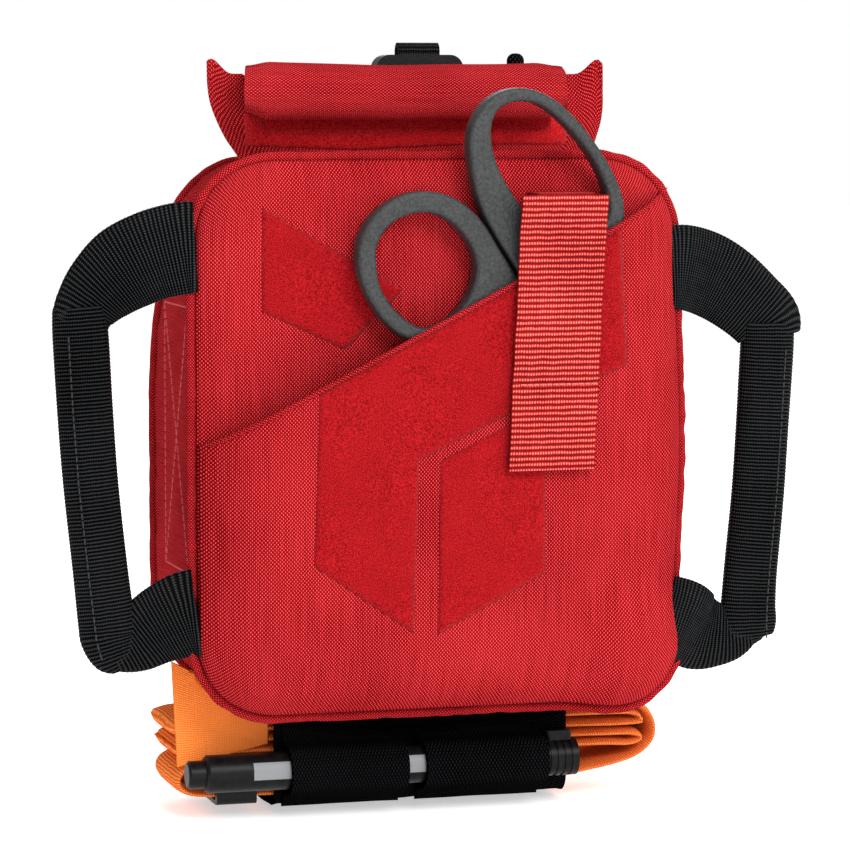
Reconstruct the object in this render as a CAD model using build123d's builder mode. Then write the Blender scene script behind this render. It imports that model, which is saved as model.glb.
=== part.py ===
"""Trauma pouch carrying a windlass tourniquet, trauma shears and a marker.

Millimetres. +X is the pouch's right as seen from its front, +Y points at the wearer, +Z is up.
The origin is the middle of the belt gap behind the back panel.
Plane.XZ faces the front, so its offsets and extrusions run towards -Y.
"""

import os
from math import cos, radians, sin, sqrt, tan

from build123d import *

os.makedirs("parts", exist_ok=True)

CLEAR = 0.3  # gap kept between pieces that move past each other


def write(part, name):
    """Labels one finished piece and writes it as parts/name.step."""
    part.label = name
    export_step(part, f"parts/{name}.step")


def front_plane(y):
    """The sketch plane that faces the front and stands at depth y."""
    return Plane.XZ.offset(-y)


# ---------------------------------------------------------------- pouch body
pouch_width = 170.0
pouch_height = 189.0
corner_radius = 28.0
gusset_depth = 76.0
gusset_wall = 2.0
gusset_inset = 1.0
panel_shell = 1.2
front_thickness = 8.0
front_edge_radius = 3.0
back_thickness = 3.0
board_thickness = 2.5
board_margin = 5.0
piping_radius = 1.75
piping_gap = 0.1
belt_gap = 6.0

back_y = -belt_gap / 2  # rear face of the back panel
back_seam_y = back_y - back_thickness
front_seam_y = back_seam_y - gusset_depth
front_y = front_seam_y - front_thickness
gusset_width = pouch_width - 2 * gusset_inset
gusset_height = pouch_height - 2 * gusset_inset
gusset_radius = corner_radius - gusset_inset
gusset_top = gusset_height / 2
mid_y = back_seam_y - 36.0  # depth of the roll-top neck and of the tourniquet
top_edge = pouch_height / 2
side_edge = pouch_width / 2

# Outlines are drawn for edges at these distances, and move with the pouch's real edges.
drawn_top = 94.5
drawn_side = 85.0


def hung(points):
    """Outline that moves with the pouch's top edge."""
    return [(x, z + top_edge - drawn_top) for x, z in points]


def beside(points, side, level):
    """Outline that moves with one side edge and with the top or bottom edge; side and level are 1 or -1."""
    out, up = side * (side_edge - drawn_side), level * (top_edge - drawn_top)
    return [(x + out, z + up) for x, z in points]



with BuildPart() as front_panel:
    with BuildSketch(front_plane(front_seam_y)):
        RectangleRounded(pouch_width, pouch_height, corner_radius)
    extrude(amount=front_thickness)
    fillet(front_panel.faces().sort_by(Axis.Y)[0].edges(), front_edge_radius)
    with BuildSketch(front_plane(front_seam_y)):
        RectangleRounded(
            pouch_width - 2 * panel_shell - front_edge_radius,
            pouch_height - 2 * panel_shell - front_edge_radius,
            corner_radius - panel_shell,
        )
    extrude(amount=front_thickness - panel_shell, mode=Mode.SUBTRACT)
write(front_panel.part, "front_panel")

with BuildPart() as front_foam:
    with BuildSketch(front_plane(front_seam_y)):
        RectangleRounded(
            pouch_width - 2 * panel_shell - front_edge_radius - CLEAR,
            pouch_height - 2 * panel_shell - front_edge_radius - CLEAR,
            corner_radius - panel_shell,
        )
    extrude(amount=front_thickness - panel_shell - CLEAR)
write(front_foam.part, "front_foam")

# The neck of the roll-top is a flat sleeve that stands in a slot of the gusset's top wall.
neck_width = 128.0
neck_depth = 16.0
neck_wall = 1.5
neck_top = top_edge + 20.5
neck_corner = 6.0

with BuildPart() as gusset:
    with BuildSketch(front_plane(back_seam_y)):
        RectangleRounded(gusset_width, gusset_height, gusset_radius)
        RectangleRounded(
            gusset_width - 2 * gusset_wall,
            gusset_height - 2 * gusset_wall,
            gusset_radius - gusset_wall,
            mode=Mode.SUBTRACT,
        )
    extrude(amount=gusset_depth)
    with BuildSketch(Plane.XY.offset(gusset_top - 4 * gusset_wall)):
        with Locations((0, mid_y)):
            RectangleRounded(neck_width, neck_depth, neck_corner)
    extrude(amount=4 * gusset_wall, mode=Mode.SUBTRACT)
write(gusset.part, "gusset")

with BuildPart() as neck:
    with BuildSketch(Plane.XY.offset(gusset_top - gusset_wall)):
        with Locations((0, mid_y)):
            RectangleRounded(neck_width, neck_depth, neck_corner)
            RectangleRounded(
                neck_width - 2 * neck_wall,
                neck_depth - 2 * neck_wall,
                neck_corner - neck_wall,
                mode=Mode.SUBTRACT,
            )
    extrude(amount=neck_top - gusset_top + gusset_wall)
write(neck.part, "neck_sleeve")

with BuildPart() as back_panel:
    with BuildSketch(front_plane(back_y)):
        RectangleRounded(pouch_width, pouch_height, corner_radius)
    extrude(amount=back_thickness)
write(back_panel.part, "back_panel")

with BuildPart() as back_board:
    with BuildSketch(front_plane(back_seam_y)):
        RectangleRounded(
            gusset_width - 2 * (gusset_wall + board_margin),
            gusset_height - 2 * (gusset_wall + board_margin),
            gusset_radius - gusset_wall - board_margin,
        )
    extrude(amount=board_thickness)
write(back_board.part, "back_board")


def piping_ring(y):
    """Corded piping laid around the panel outline at depth y."""
    half_width = pouch_width / 2 + piping_radius + piping_gap
    half_height = pouch_height / 2 + piping_radius + piping_gap
    radius = corner_radius + piping_radius + piping_gap
    straight_x = half_width - radius
    straight_z = half_height - radius
    with BuildPart() as ring:
        with BuildLine(front_plane(y)) as path:
            Line((0, half_height), (straight_x, half_height))
            RadiusArc((straight_x, half_height), (half_width, straight_z), radius)
            Line((half_width, straight_z), (half_width, -straight_z))
            RadiusArc((half_width, -straight_z), (straight_x, -half_height), radius)
            Line((straight_x, -half_height), (0, -half_height))
        with BuildSketch(Plane(origin=path.wire() @ 0, z_dir=path.wire() % 0)):
            Circle(piping_radius)
        sweep(path=path.wire())
        mirror(about=Plane.YZ)
    return ring.part


write(piping_ring(front_seam_y), "piping_front")
write(piping_ring(back_y - back_thickness / 2), "piping_back")

# ------------------------------------------------------------- rolled closure
tape_thickness = 0.8
tape_height = 11.0
roll_width = 109.0
roll_offset = -1.2  # the roll sits a little to the left of the neck
roll_top_z = neck_top + 11.0
roll_bottom_z = neck_top - 13.0
roll_corner = 4.5
leg_thickness = 14.0
stiffener_thickness = 2.0
stiffener_margin = 3.0
hinge_gap = 1.3

neck_front = mid_y - neck_depth / 2
neck_back = mid_y + neck_depth / 2
tape_face = neck_front - tape_thickness
leg_back = tape_face - 2 * CLEAR - tape_thickness
leg_front = leg_back - leg_thickness
web_bottom = neck_top + hinge_gap
roll_back = neck_back + 3.0  # the closure's hinge line

with BuildPart() as neck_loop_tape:
    with BuildSketch(front_plane(neck_front)):
        with Locations((roll_offset, roll_bottom_z + tape_height / 2 - 3.5)):
            Rectangle(roll_width - 4, tape_height)
    extrude(amount=tape_thickness)
write(neck_loop_tape.part, "neck_loop_tape")

with BuildPart() as roll_fold:
    with BuildSketch(Plane.YZ.offset(roll_offset - roll_width / 2)):
        with BuildLine():
            Polyline(
                (roll_back, web_bottom),
                (roll_back, roll_top_z),
                (leg_front, roll_top_z),
                (leg_front, roll_bottom_z),
                (leg_back, roll_bottom_z),
                (leg_back, web_bottom),
                close=True,
            )
        make_face()
    extrude(amount=roll_width)
    fillet(roll_fold.edges().filter_by(Axis.X).group_by(Axis.Z)[-1], roll_corner)
    fillet(roll_fold.edges().filter_by(Axis.X).group_by(Axis.Z)[0].sort_by(Axis.Y)[0], roll_corner)
    with BuildSketch(front_plane(leg_back - leg_thickness / 2 + stiffener_thickness / 2)):
        with Locations((roll_offset, (roll_top_z + roll_bottom_z) / 2)):
            Rectangle(
                roll_width - 2 * stiffener_margin,
                roll_top_z - roll_bottom_z - 2 * stiffener_margin,
            )
    extrude(amount=stiffener_thickness, mode=Mode.SUBTRACT)
write(roll_fold.part, "roll_fold")

with BuildPart() as roll_stiffener:
    with BuildSketch(front_plane(leg_back - leg_thickness / 2 + stiffener_thickness / 2)):
        with Locations((roll_offset, (roll_top_z + roll_bottom_z) / 2)):
            Rectangle(
                roll_width - 2 * stiffener_margin,
                roll_top_z - roll_bottom_z - 2 * stiffener_margin,
            )
    extrude(amount=stiffener_thickness)
write(roll_stiffener.part, "roll_stiffener")

with BuildPart() as roll_hook_tape:
    with BuildSketch(front_plane(leg_back + tape_thickness)):
        with Locations((roll_offset, roll_bottom_z + tape_height / 2 + 1)):
            Rectangle(roll_width - 4, tape_height)
    extrude(amount=tape_thickness)
write(roll_hook_tape.part, "roll_hook_tape")

# The sleeve's two side corners stand out past the roll as ears.
ear_thickness = 1.6
ear_root = neck_width / 2 + 2 * CLEAR
ear_reach = 8.0
ear_tip_z = neck_top + 12.5

for side, name in ((-1, "left"), (1, "right")):
    roll_end = roll_offset + side * roll_width / 2 + side * CLEAR
    with BuildPart() as roll_ear:
        with BuildSketch(front_plane(mid_y + ear_thickness / 2)):
            with BuildLine():
                Polyline(
                    (side * ear_root, gusset_top + 5),
                    (side * (ear_root + ear_reach - 1.5), gusset_top + 12),
                    (side * (ear_root + ear_reach), neck_top + 4),
                    (side * (ear_root + ear_reach - 3), ear_tip_z),
                    (side * ear_root, roll_top_z - 3),
                    (roll_end, roll_top_z - 4),
                    (roll_end, web_bottom),
                    (side * ear_root, web_bottom),
                    close=True,
                )
            make_face()
        extrude(amount=ear_thickness)
    write(roll_ear.part, f"roll_ear_{name}")

# ------------------------------------------------- release buckle and pull cord
buckle_x = 12.5
buckle_y = -14.0
webbing = 1.6
buckle_width = 32.0
buckle_depth = 8.0
buckle_shell = 1.6
buckle_base_z = gusset_top + 7.5
buckle_base_height = 6.0
female_top = buckle_base_z + 28.0
female_height = 19.0
prong_height = 14.0
prong_width = 4.0
tab_width = 15.0
tab_top = female_top + 4.5

with BuildPart() as buckle_strap:
    with BuildSketch(Plane.XY.offset(gusset_top)):
        with Locations((buckle_x, buckle_y)):
            Rectangle(25, webbing)
    extrude(amount=buckle_base_z - gusset_top)
write(buckle_strap.part, "buckle_strap")

with BuildPart() as buckle_male:
    with BuildSketch(Plane.XY.offset(buckle_base_z)):
        with Locations((buckle_x, buckle_y)):
            RectangleRounded(buckle_width - 3, buckle_depth - 1, 2)
    extrude(amount=buckle_base_height)
    with BuildSketch(Plane.XY.offset(buckle_base_z + buckle_base_height)):
        with Locations((buckle_x, buckle_y)):
            with GridLocations(7, 0, 3, 1):
                Rectangle(prong_width, 3)
    extrude(amount=prong_height)
write(buckle_male.part, "buckle_male")

with BuildPart() as buckle_female:
    with BuildSketch(front_plane(buckle_y + buckle_depth / 2)):
        with Locations((buckle_x, female_top - female_height / 2)):
            RectangleRounded(buckle_width, female_height, 5)
    extrude(amount=buckle_depth)
    with BuildSketch(Plane.XY.offset(female_top - female_height)):
        with Locations((buckle_x, buckle_y)):
            Rectangle(buckle_width - 2 * buckle_shell - 8, buckle_depth - 2 * buckle_shell)
    extrude(amount=female_height - 6, mode=Mode.SUBTRACT)
write(buckle_female.part, "buckle_female")

with BuildPart() as buckle_tab:
    with BuildSketch(front_plane(buckle_y + 3)):
        with Locations((buckle_x, female_top)):
            RectangleRounded(tab_width, 2 * (tab_top - female_top), 3)
            Rectangle(tab_width, tab_top - female_top, align=(Align.CENTER, Align.MAX), mode=Mode.SUBTRACT)
    extrude(amount=6)
write(buckle_tab.part, "buckle_tab")

cord_x = 49.0
cord_radius = 1.6
bead_radius = 3.1
bead_top = gusset_top + 36.1
bead_height = 9.0

with BuildPart() as pull_cord:
    with BuildSketch(Plane.XY.offset(gusset_top)):
        with Locations((cord_x, buckle_y)):
            Circle(cord_radius)
    extrude(amount=bead_top - bead_height - gusset_top)
    with BuildSketch(Plane.XY.offset(bead_top - bead_height)):
        with Locations((cord_x, buckle_y)):
            Circle(bead_radius)
    extrude(amount=bead_height)
    fillet(pull_cord.faces().sort_by(Axis.Z)[-1].edges(), bead_radius - 0.4)
write(pull_cord.part, "pull_cord")

# ------------------------------------------------------ slant pocket and patches
pocket_margin = 3.0
pocket_depth = 11.3
pocket_wall = 1.5
pocket_taper = 5.0
mouth_left = (-side_edge + 3.3, top_edge - 94.9)
mouth_slope = 27.2
patch_thickness = 0.8

pocket_face = front_y - pocket_depth - pocket_wall


def pocket_profile(y, inset):
    """Rounded outline of the pocket at depth y, drawn in by inset all round."""
    with BuildSketch(front_plane(y)) as profile:
        RectangleRounded(
            pouch_width - 2 * (pocket_margin + inset),
            pouch_height - 2 * (pocket_margin + inset),
            corner_radius - pocket_margin - inset,
        )
    return profile.sketch


with BuildPart() as pocket_panel:
    loft([pocket_profile(front_y, 0), pocket_profile(pocket_face, pocket_taper)])
    loft(
        [
            pocket_profile(front_y, pocket_wall),
            pocket_profile(front_y - pocket_depth, pocket_taper + pocket_wall),
        ],
        mode=Mode.SUBTRACT,
    )
    reach = 2 * pouch_width
    rise = reach * tan(radians(mouth_slope))
    with BuildSketch(front_plane(front_y + 1)):
        with BuildLine():
            Polyline(
                (mouth_left[0] - 20, mouth_left[1] - 20 * tan(radians(mouth_slope))),
                (mouth_left[0] - 20, reach),
                (mouth_left[0] + reach, reach),
                (mouth_left[0] + reach, mouth_left[1] + rise),
                close=True,
            )
        make_face()
    extrude(amount=pocket_depth + pocket_wall + 2, mode=Mode.SUBTRACT)
write(pocket_panel.part, "pocket_panel")


def patch(points, y):
    """Flat hook-and-loop field with the given outline, lying on the surface at depth y."""
    with BuildPart() as field:
        with BuildSketch(front_plane(y)):
            with BuildLine():
                Polyline(*points, close=True)
            make_face()
        extrude(amount=patch_thickness)
    return field.part


upper_patch = [(-62.7, 77.8), (-14, 50), (-34.3, 30.2), (-62.8, 43.3)]
main_patch = [
    (-46.2, 16.6),
    (59.0, 70.6),
    (61.5, 24),
    (15.2, 6.5),
    (-12, -6.6),
    (-13.9, -64.6),
    (-48.3, -40.9),
]
lower_patch = [(-4.7, -6.8), (32, 11.1), (32.2, -45.8), (-5.5, -65.3)]
write(patch(hung(upper_patch), front_y), "loop_patch_upper")
write(patch(hung(main_patch), pocket_face), "loop_patch_main")
write(patch(hung(lower_patch), pocket_face), "loop_patch_lower")

# ------------------------------------------------------------- retention strap
strap_width = 29.0
strap_x = 38.6
strap_top = top_edge - 12.7
strap_bottom = strap_top - 92.3
strap_tilt = 2.8  # degrees, the free end leans to the left
base_width = 20.0  # the sewn root is narrower, it passes through the bow
base_bottom = strap_top - 26.8
hook_length = 58.0

strap_back = pocket_face - patch_thickness - 2 * CLEAR - tape_thickness
strap_mid = strap_back - webbing / 2

with BuildPart() as retention_base:
    with BuildSketch(Plane.YZ.offset(strap_x - base_width / 2)):
        with BuildLine():
            Polyline(
                (front_y, base_bottom),
                (front_y, strap_top),
                (strap_back + 2 * CLEAR, strap_top),
                (strap_back + 2 * CLEAR, strap_top - webbing),
                (front_y - webbing, strap_top - webbing),
                (front_y - webbing, base_bottom),
                close=True,
            )
        make_face()
    extrude(amount=base_width)
write(retention_base.part, "retention_base")


def leaning_strip(y, width, top, bottom, thickness):
    """Strip that hangs from the strap's top centre and leans with the strap."""
    lean = tan(radians(strap_tilt))
    with BuildPart() as strip:
        with BuildSketch(front_plane(y)):
            with BuildLine():
                Polyline(
                    (strap_x - width / 2 - lean * (strap_top - top), top),
                    (strap_x + width / 2 - lean * (strap_top - top), top),
                    (strap_x + width / 2 - lean * (strap_top - bottom), bottom),
                    (strap_x - width / 2 - lean * (strap_top - bottom), bottom),
                    close=True,
                )
            make_face()
        extrude(amount=thickness)
    return strip.part


write(leaning_strip(strap_back, strap_width, strap_top, strap_bottom, webbing), "retention_strap")
write(
    leaning_strip(
        strap_back + tape_thickness,
        strap_width - 4,
        strap_bottom + 20 + hook_length * 0.5,
        strap_bottom + 20,
        tape_thickness,
    ),
    "retention_hook_tape",
)

# --------------------------------------------------------------- trauma shears
shears_stand_off = 2.3
handle_thickness = 8.0
blade_thickness = 1.6
blade_gap = 0.3
edge_round = 1.5
pivot_x = 34.0
pivot_z = top_edge - 58.5
pivot_radius = 2.5
pivot_running = 0.1
screw_head_radius = 4.5
screw_head_height = 1.0
shank_clear = 9.5  # both handles stay this far from the pivot
blade_length = 86.0
guard_drop = 4.0  # the guarded blade is longer by this much
guard_thickness = 5.0
guard_width = 11.0
guard_height = 6.0

handle_back = front_y - shears_stand_off
shears_mid = handle_back - handle_thickness / 2
long_blade_back = shears_mid - blade_gap / 2
ring_blade_back = shears_mid + blade_gap / 2 + blade_thickness

long_outer = [
    (31.5, 43),
    (25.6, 52.3),
    (18.6, 63.1),
    (11.9, 73.9),
    (8.4, 83),
    (6.4, 94),
    (6.9, 104.5),
    (13, 113.6),
    (23.1, 117.4),
    (32.6, 115.3),
    (47.8, 102.2),
    (57.9, 86.7),
    (60.9, 75),
    (57, 65.5),
    (49, 55.5),
    (42, 44.5),
]
long_inner = [
    (23.1, 112.8),
    (14.7, 107.6),
    (14.2, 98),
    (18.2, 87),
    (23.6, 78.6),
    (28.6, 71.6),
    (37, 66.8),
    (47, 68),
    (54.6, 74),
    (54.4, 82),
    (47.2, 96.5),
    (33.7, 110),
]
ring_outer = [
    (29.4, 44.4),
    (23.8, 53.1),
    (16.8, 63.6),
    (10.3, 73.4),
    (-1.7, 81.9),
    (-12, 83),
    (-24, 78),
    (-31.4, 68),
    (-31.9, 57),
    (-27.4, 45.7),
    (-18, 35.5),
    (-6, 31.6),
    (6, 33.4),
    (17, 35.2),
    (25, 35.4),
]
ring_inner = [
    (-26, 61.3),
    (-23.4, 69.6),
    (-15, 75.3),
    (-5.2, 75.4),
    (4.2, 68.4),
    (8.7, 57.9),
    (6.2, 48.4),
    (-0.5, 40.6),
    (-9, 37.6),
    (-18, 42.4),
    (-24.6, 52),
]
long_tang = [
    (pivot_x - 3.5, pivot_z + 4),
    (pivot_x - 2, pivot_z + 24),
    (pivot_x + 6, pivot_z + 24),
    (pivot_x + 7, pivot_z + 3),
    (pivot_x, pivot_z - 6),
]
ring_tang = [
    (pivot_x - 4, pivot_z - 5),
    (pivot_x - 24, pivot_z + 3),
    (pivot_x - 24, pivot_z + 10),
    (pivot_x - 4, pivot_z + 8),
    (pivot_x + 5, pivot_z),
]


def shears_handle(outer, end_run, inner, tang, tang_back):
    """Moulded handle with a smooth bow, a slot for its tang and room for the pivot."""
    with BuildPart() as handle:
        with BuildSketch(front_plane(handle_back)):
            with BuildLine():
                if end_run is None:
                    Spline(*outer, periodic=True)
                else:
                    parting = Polyline(*outer[:3])
                    Spline(*outer[2:], tangents=[parting % 1, end_run])
                    Line(outer[-1], outer[0])
            make_face()
            with BuildLine():
                Spline(*inner, periodic=True)
            make_face(mode=Mode.SUBTRACT)
        extrude(amount=handle_thickness)
        rims = handle.edges().filter_by(GeomType.BSPLINE).filter_by(Plane.XZ)
        fillet(rims, edge_round)
        with BuildSketch(front_plane(tang_back)):
            with BuildLine():
                Polyline(*tang, close=True)
            make_face()
        extrude(amount=blade_thickness, mode=Mode.SUBTRACT)
        with BuildSketch(front_plane(handle_back)):
            with Locations((pivot_x, pivot_z)):
                Circle(shank_clear)
        extrude(amount=handle_thickness, mode=Mode.SUBTRACT)
    return handle.part


def shears_blade(tang, back, lean, drop, hole):
    """Ground steel blade; lean moves its point sideways, drop lengthens it."""
    tip_z = pivot_z - blade_length - drop
    with BuildPart() as steel:
        with BuildSketch(front_plane(back)):
            with BuildLine():
                Polyline(
                    (pivot_x - 6.5, pivot_z + 5),
                    (pivot_x - 6.5, pivot_z - 12),
                    (pivot_x + lean, tip_z),
                    (pivot_x + lean + 4, tip_z + 1),
                    (pivot_x + 7.5, pivot_z - 14),
                    (pivot_x + 7.5, pivot_z + 3),
                    close=True,
                )
            make_face()
            with BuildLine():
                Polyline(*tang, close=True)
            make_face()
            with Locations((pivot_x, pivot_z)):
                Circle(hole, mode=Mode.SUBTRACT)
        extrude(amount=blade_thickness)
    return steel.part


write(
    shears_handle(hung(long_outer), (-0.6, -0.8), hung(long_inner), long_tang, long_blade_back),
    "shears_long_handle",
)
write(
    shears_handle(hung(ring_outer), None, hung(ring_inner), ring_tang, ring_blade_back),
    "shears_ring_handle",
)
write(shears_blade(long_tang, long_blade_back, 1.0, 0, pivot_radius), "shears_long_blade")
write(
    shears_blade(ring_tang, ring_blade_back, 0.0, guard_drop, pivot_radius + pivot_running),
    "shears_ring_blade",
)

with BuildPart() as shears_pivot:
    with BuildSketch(front_plane(ring_blade_back + 0.2)):
        with Locations((pivot_x, pivot_z)):
            Circle(pivot_radius)
    extrude(amount=2 * blade_thickness + blade_gap + 0.2)
    for back in (ring_blade_back + 0.2 + screw_head_height, long_blade_back - blade_thickness):
        with BuildSketch(front_plane(back)):
            with Locations((pivot_x, pivot_z)):
                Circle(screw_head_radius)
        extrude(amount=screw_head_height)
write(shears_pivot.part, "shears_pivot_screw")

guard_x = pivot_x + 2.5
guard_z = pivot_z - blade_length - guard_drop - 0.5
with BuildPart() as shears_guard:
    with BuildSketch(front_plane(shears_mid + guard_thickness / 2 + 1)):
        with Locations((guard_x, guard_z)):
            SlotOverall(guard_width, guard_height)
    extrude(amount=guard_thickness)
    with BuildSketch(front_plane(ring_blade_back)):
        with BuildLine():
            Polyline(
                (pivot_x - 6.5, pivot_z - 12),
                (pivot_x, pivot_z - blade_length - guard_drop),
                (pivot_x + 4, pivot_z - blade_length - guard_drop + 1),
                (pivot_x + 7.5, pivot_z - 14),
                close=True,
            )
        make_face()
    extrude(amount=blade_thickness, mode=Mode.SUBTRACT)
write(shears_guard.part, "shears_tip_guard")

# ---------------------------------------------------------------- side handles
handle_webbing = 3.2  # two layers sewn together
grip_width = 18.5
grip_depth = 10.0
core_width = 12.0
core_depth = 4.0
handle_y = front_seam_y + piping_radius + CLEAR + handle_webbing / 2 + 0.3
arm_root = gusset_width / 2 + handle_webbing / 2 + 0.4

# Corners of one handle in the front view: upper arm, lower arm, then the grip's two ends.
drawn_root = 86.0
left_arms = [
    [(-drawn_root, 79), (-104, 71.5), (-118, 66), (-131, 44), (-113, 38), (-109, 43), (-drawn_root, 52)],
    [(-drawn_root, -39), (-95, -43), (-105, -54), (-122, -66), (-117, -74), (-99, -71), (-drawn_root, -68)],
]
left_grip = [(-121.5, 42), (-113, -64)]
right_arms = [
    [(drawn_root, 69.5), (95.5, 68.5), (109, 60), (132, 36), (112, 33), (96, 38.5), (drawn_root, 42)],
    [
        (drawn_root, -50),
        (92, -53.5),
        (105, -61),
        (128, -63),
        (127, -78),
        (117, -80),
        (96, -87),
        (drawn_root, -81),
    ],
]
right_grip = [(122.5, 35), (115.5, -64)]


def carry_handle(arms, grip):
    """Flat webbing arms joined by a grip that is folded round a core."""
    low_x, low_z = grip[1]
    run = Vector(grip[1][0], handle_y, grip[1][1]) - Vector(grip[0][0], handle_y, grip[0][1])
    along = Plane(
        origin=(grip[0][0], handle_y, grip[0][1]),
        x_dir=(-run.Z, 0, run.X),
        z_dir=run,
    )
    with BuildPart() as strap:
        with BuildSketch(front_plane(handle_y + handle_webbing / 2)):
            for arm in arms:
                with BuildLine():
                    Polyline(*arm, close=True)
                make_face()
        extrude(amount=handle_webbing)
        with BuildSketch(along):
            RectangleRounded(grip_width, grip_depth, grip_depth / 2 - 0.5)
        extrude(amount=run.length)
        with BuildSketch(along.offset(3)):
            RectangleRounded(core_width, core_depth, core_depth / 2 - 0.2)
        extrude(amount=run.length - 6, mode=Mode.SUBTRACT)
    with BuildPart() as core:
        with BuildSketch(along.offset(3 + CLEAR)):
            RectangleRounded(core_width - CLEAR, core_depth - CLEAR, core_depth / 2 - 0.4)
        extrude(amount=run.length - 6 - 2 * CLEAR)
    return strap.part, core.part


for side, sign, arms, grip in (("left", -1, left_arms, left_grip), ("right", 1, right_arms, right_grip)):
    upper, lower = arms
    root = sign * (arm_root - drawn_root - side_edge + drawn_side)
    arms = []
    for arm, level in ((upper, 1), (lower, -1)):
        seam = [(x + root, z) if abs(x) == drawn_root else (x, z) for x, z in arm]
        arms.append(beside(seam, sign, level))
    grip = beside(grip[:1], sign, 1) + beside(grip[1:], sign, -1)
    strap_part, core_part = carry_handle(arms, grip)
    write(strap_part, f"handle_strap_{side}")
    write(core_part, f"handle_core_{side}")

# ------------------------------------------------------------ tourniquet holder
band_width = 38.0
band_thickness = 2.4
layer_pitch = 3.6
plate_thickness = 1.8
plate_gap = 0.5
clip_web = 1.0
clip_foot = 1.6
rod_radius = 4.0
rod_gap = 0.4
sleeve_half = 52.5
sleeve_wall = 1.5
side_play = 0.7
stack_play = 1.0

gusset_bottom = -gusset_height / 2
top_layer_z = gusset_bottom - sleeve_wall - 2.0 - band_thickness / 2
layers = [top_layer_z - layer_pitch * n for n in range(5)]
plate_top = layers[-1] - band_thickness / 2 - plate_gap
plate_bottom = plate_top - plate_thickness
rod_z = plate_bottom - clip_web - rod_gap - rod_radius
clip_bottom = rod_z - rod_radius - rod_gap
sleeve_bottom = clip_bottom - clip_foot - stack_play - sleeve_wall
sleeve_height = gusset_bottom - sleeve_bottom
sleeve_mid_z = (gusset_bottom + sleeve_bottom) / 2
sleeve_depth = band_width + 2 * (side_play + sleeve_wall)
sleeve_front = mid_y - sleeve_depth / 2

with BuildPart() as holder_sleeve:
    with BuildSketch(Plane.YZ.offset(-sleeve_half)):
        with Locations((mid_y, sleeve_mid_z)):
            RectangleRounded(sleeve_depth, sleeve_height, 3)
            RectangleRounded(
                sleeve_depth - 2 * sleeve_wall,
                sleeve_height - 2 * sleeve_wall,
                1.5,
                mode=Mode.SUBTRACT,
            )
    extrude(amount=2 * sleeve_half)
write(holder_sleeve.part, "holder_sleeve")

with BuildPart() as holder_binding:
    for x in (-sleeve_half - 1.2, sleeve_half - 2.0):
        with BuildSketch(Plane.YZ.offset(x)):
            with Locations((mid_y, sleeve_mid_z)):
                RectangleRounded(sleeve_depth + 1.6, sleeve_height + 0.8, 3.4)
                RectangleRounded(sleeve_depth, sleeve_height, 3, mode=Mode.SUBTRACT)
            with Locations((mid_y, gusset_bottom)):
                Rectangle(sleeve_depth + 4, 2, align=(Align.CENTER, Align.MIN), mode=Mode.SUBTRACT)
        extrude(amount=3.2)
write(holder_binding.part, "holder_binding")

# --------------------------------------------------- marker and its elastic loops
marker_radius = 6.5
marker_z = gusset_bottom - 21.0
marker_left = -85.0
barrel_left = -79.0
barrel_right = 12.0
marker_right = 53.0
plug_radius = 4.8
neck_radius = 4.0
cap_wall = 1.3
cap_overlap = 8.0
loop_wall = 1.2
loop_grip = 0.3
loop_gap = 6.4
loop_left = -50.0
loop_right = 41.4
loop_split = (-8.9, -2.5)

marker_y = sleeve_front - loop_wall - loop_grip - marker_radius
cap_inner = marker_radius - cap_wall


def pen_loop(x_from, x_to):
    """Elastic loop with a sewn flange above and below the marker."""
    radius = marker_radius + loop_grip
    with BuildPart() as loop:
        with BuildSketch(Plane.YZ.offset(x_from)):
            with Locations((sleeve_front, marker_z)):
                Rectangle(loop_wall, 24, align=(Align.MAX, Align.CENTER))
            with Locations((marker_y, marker_z)):
                Circle(radius + loop_wall)
            with Locations((sleeve_front, marker_z)):
                Rectangle(8, 24, align=(Align.MIN, Align.CENTER), mode=Mode.SUBTRACT)
            with Locations((marker_y, marker_z)):
                Circle(radius, mode=Mode.SUBTRACT)
        extrude(amount=x_to - x_from)
    return loop.part


write(pen_loop(loop_left, loop_split[0]), "pen_loop_left")
write(pen_loop(loop_split[1], loop_right), "pen_loop_right")


def turned(x_from, x_to, radius):
    """Adds one round step of the marker between two stations."""
    with Locations(Location((x_from, marker_y, marker_z), (0, 90, 0))):
        Cylinder(radius, x_to - x_from, align=(Align.CENTER, Align.CENTER, Align.MIN))


with BuildPart() as marker_barrel:
    turned(barrel_left, barrel_right, marker_radius)
    chamfer(marker_barrel.edges().group_by(Axis.X)[0], 1.0)
    turned(barrel_right, barrel_right + cap_overlap, cap_inner - 0.05)
    turned(barrel_right + cap_overlap, barrel_right + cap_overlap + 6, neck_radius)
write(marker_barrel.part, "marker_barrel")

with BuildPart() as marker_plug:
    turned(marker_left, barrel_left, plug_radius)
    chamfer(marker_plug.edges().group_by(Axis.X)[0], 0.8)
write(marker_plug.part, "marker_end_plug")

nib_from = barrel_right + cap_overlap + 6
with BuildPart() as marker_nib:
    turned(nib_from, nib_from + 3, 2.2)
    with Locations(Location((nib_from + 5.5, marker_y, marker_z), (0, 90, 0))):
        Cone(2.2, 0.8, 5)
write(marker_nib.part, "marker_nib")

with BuildPart() as marker_cap:
    turned(barrel_right + CLEAR, marker_right, marker_radius)
    for step in range(4):
        with BuildSketch(Plane.YZ.offset(marker_right - 3.4 - step * 2.6)):
            with Locations((marker_y, marker_z)):
                Circle(marker_radius + 0.2)
                Circle(marker_radius - 0.5, mode=Mode.SUBTRACT)
        extrude(amount=1.0, mode=Mode.SUBTRACT)
    with BuildSketch(Plane.YZ.offset(barrel_right + CLEAR)):
        with Locations((marker_y, marker_z)):
            Circle(cap_inner)
    extrude(amount=marker_right - barrel_right - 6, mode=Mode.SUBTRACT)
write(marker_cap.part, "marker_cap")

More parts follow.
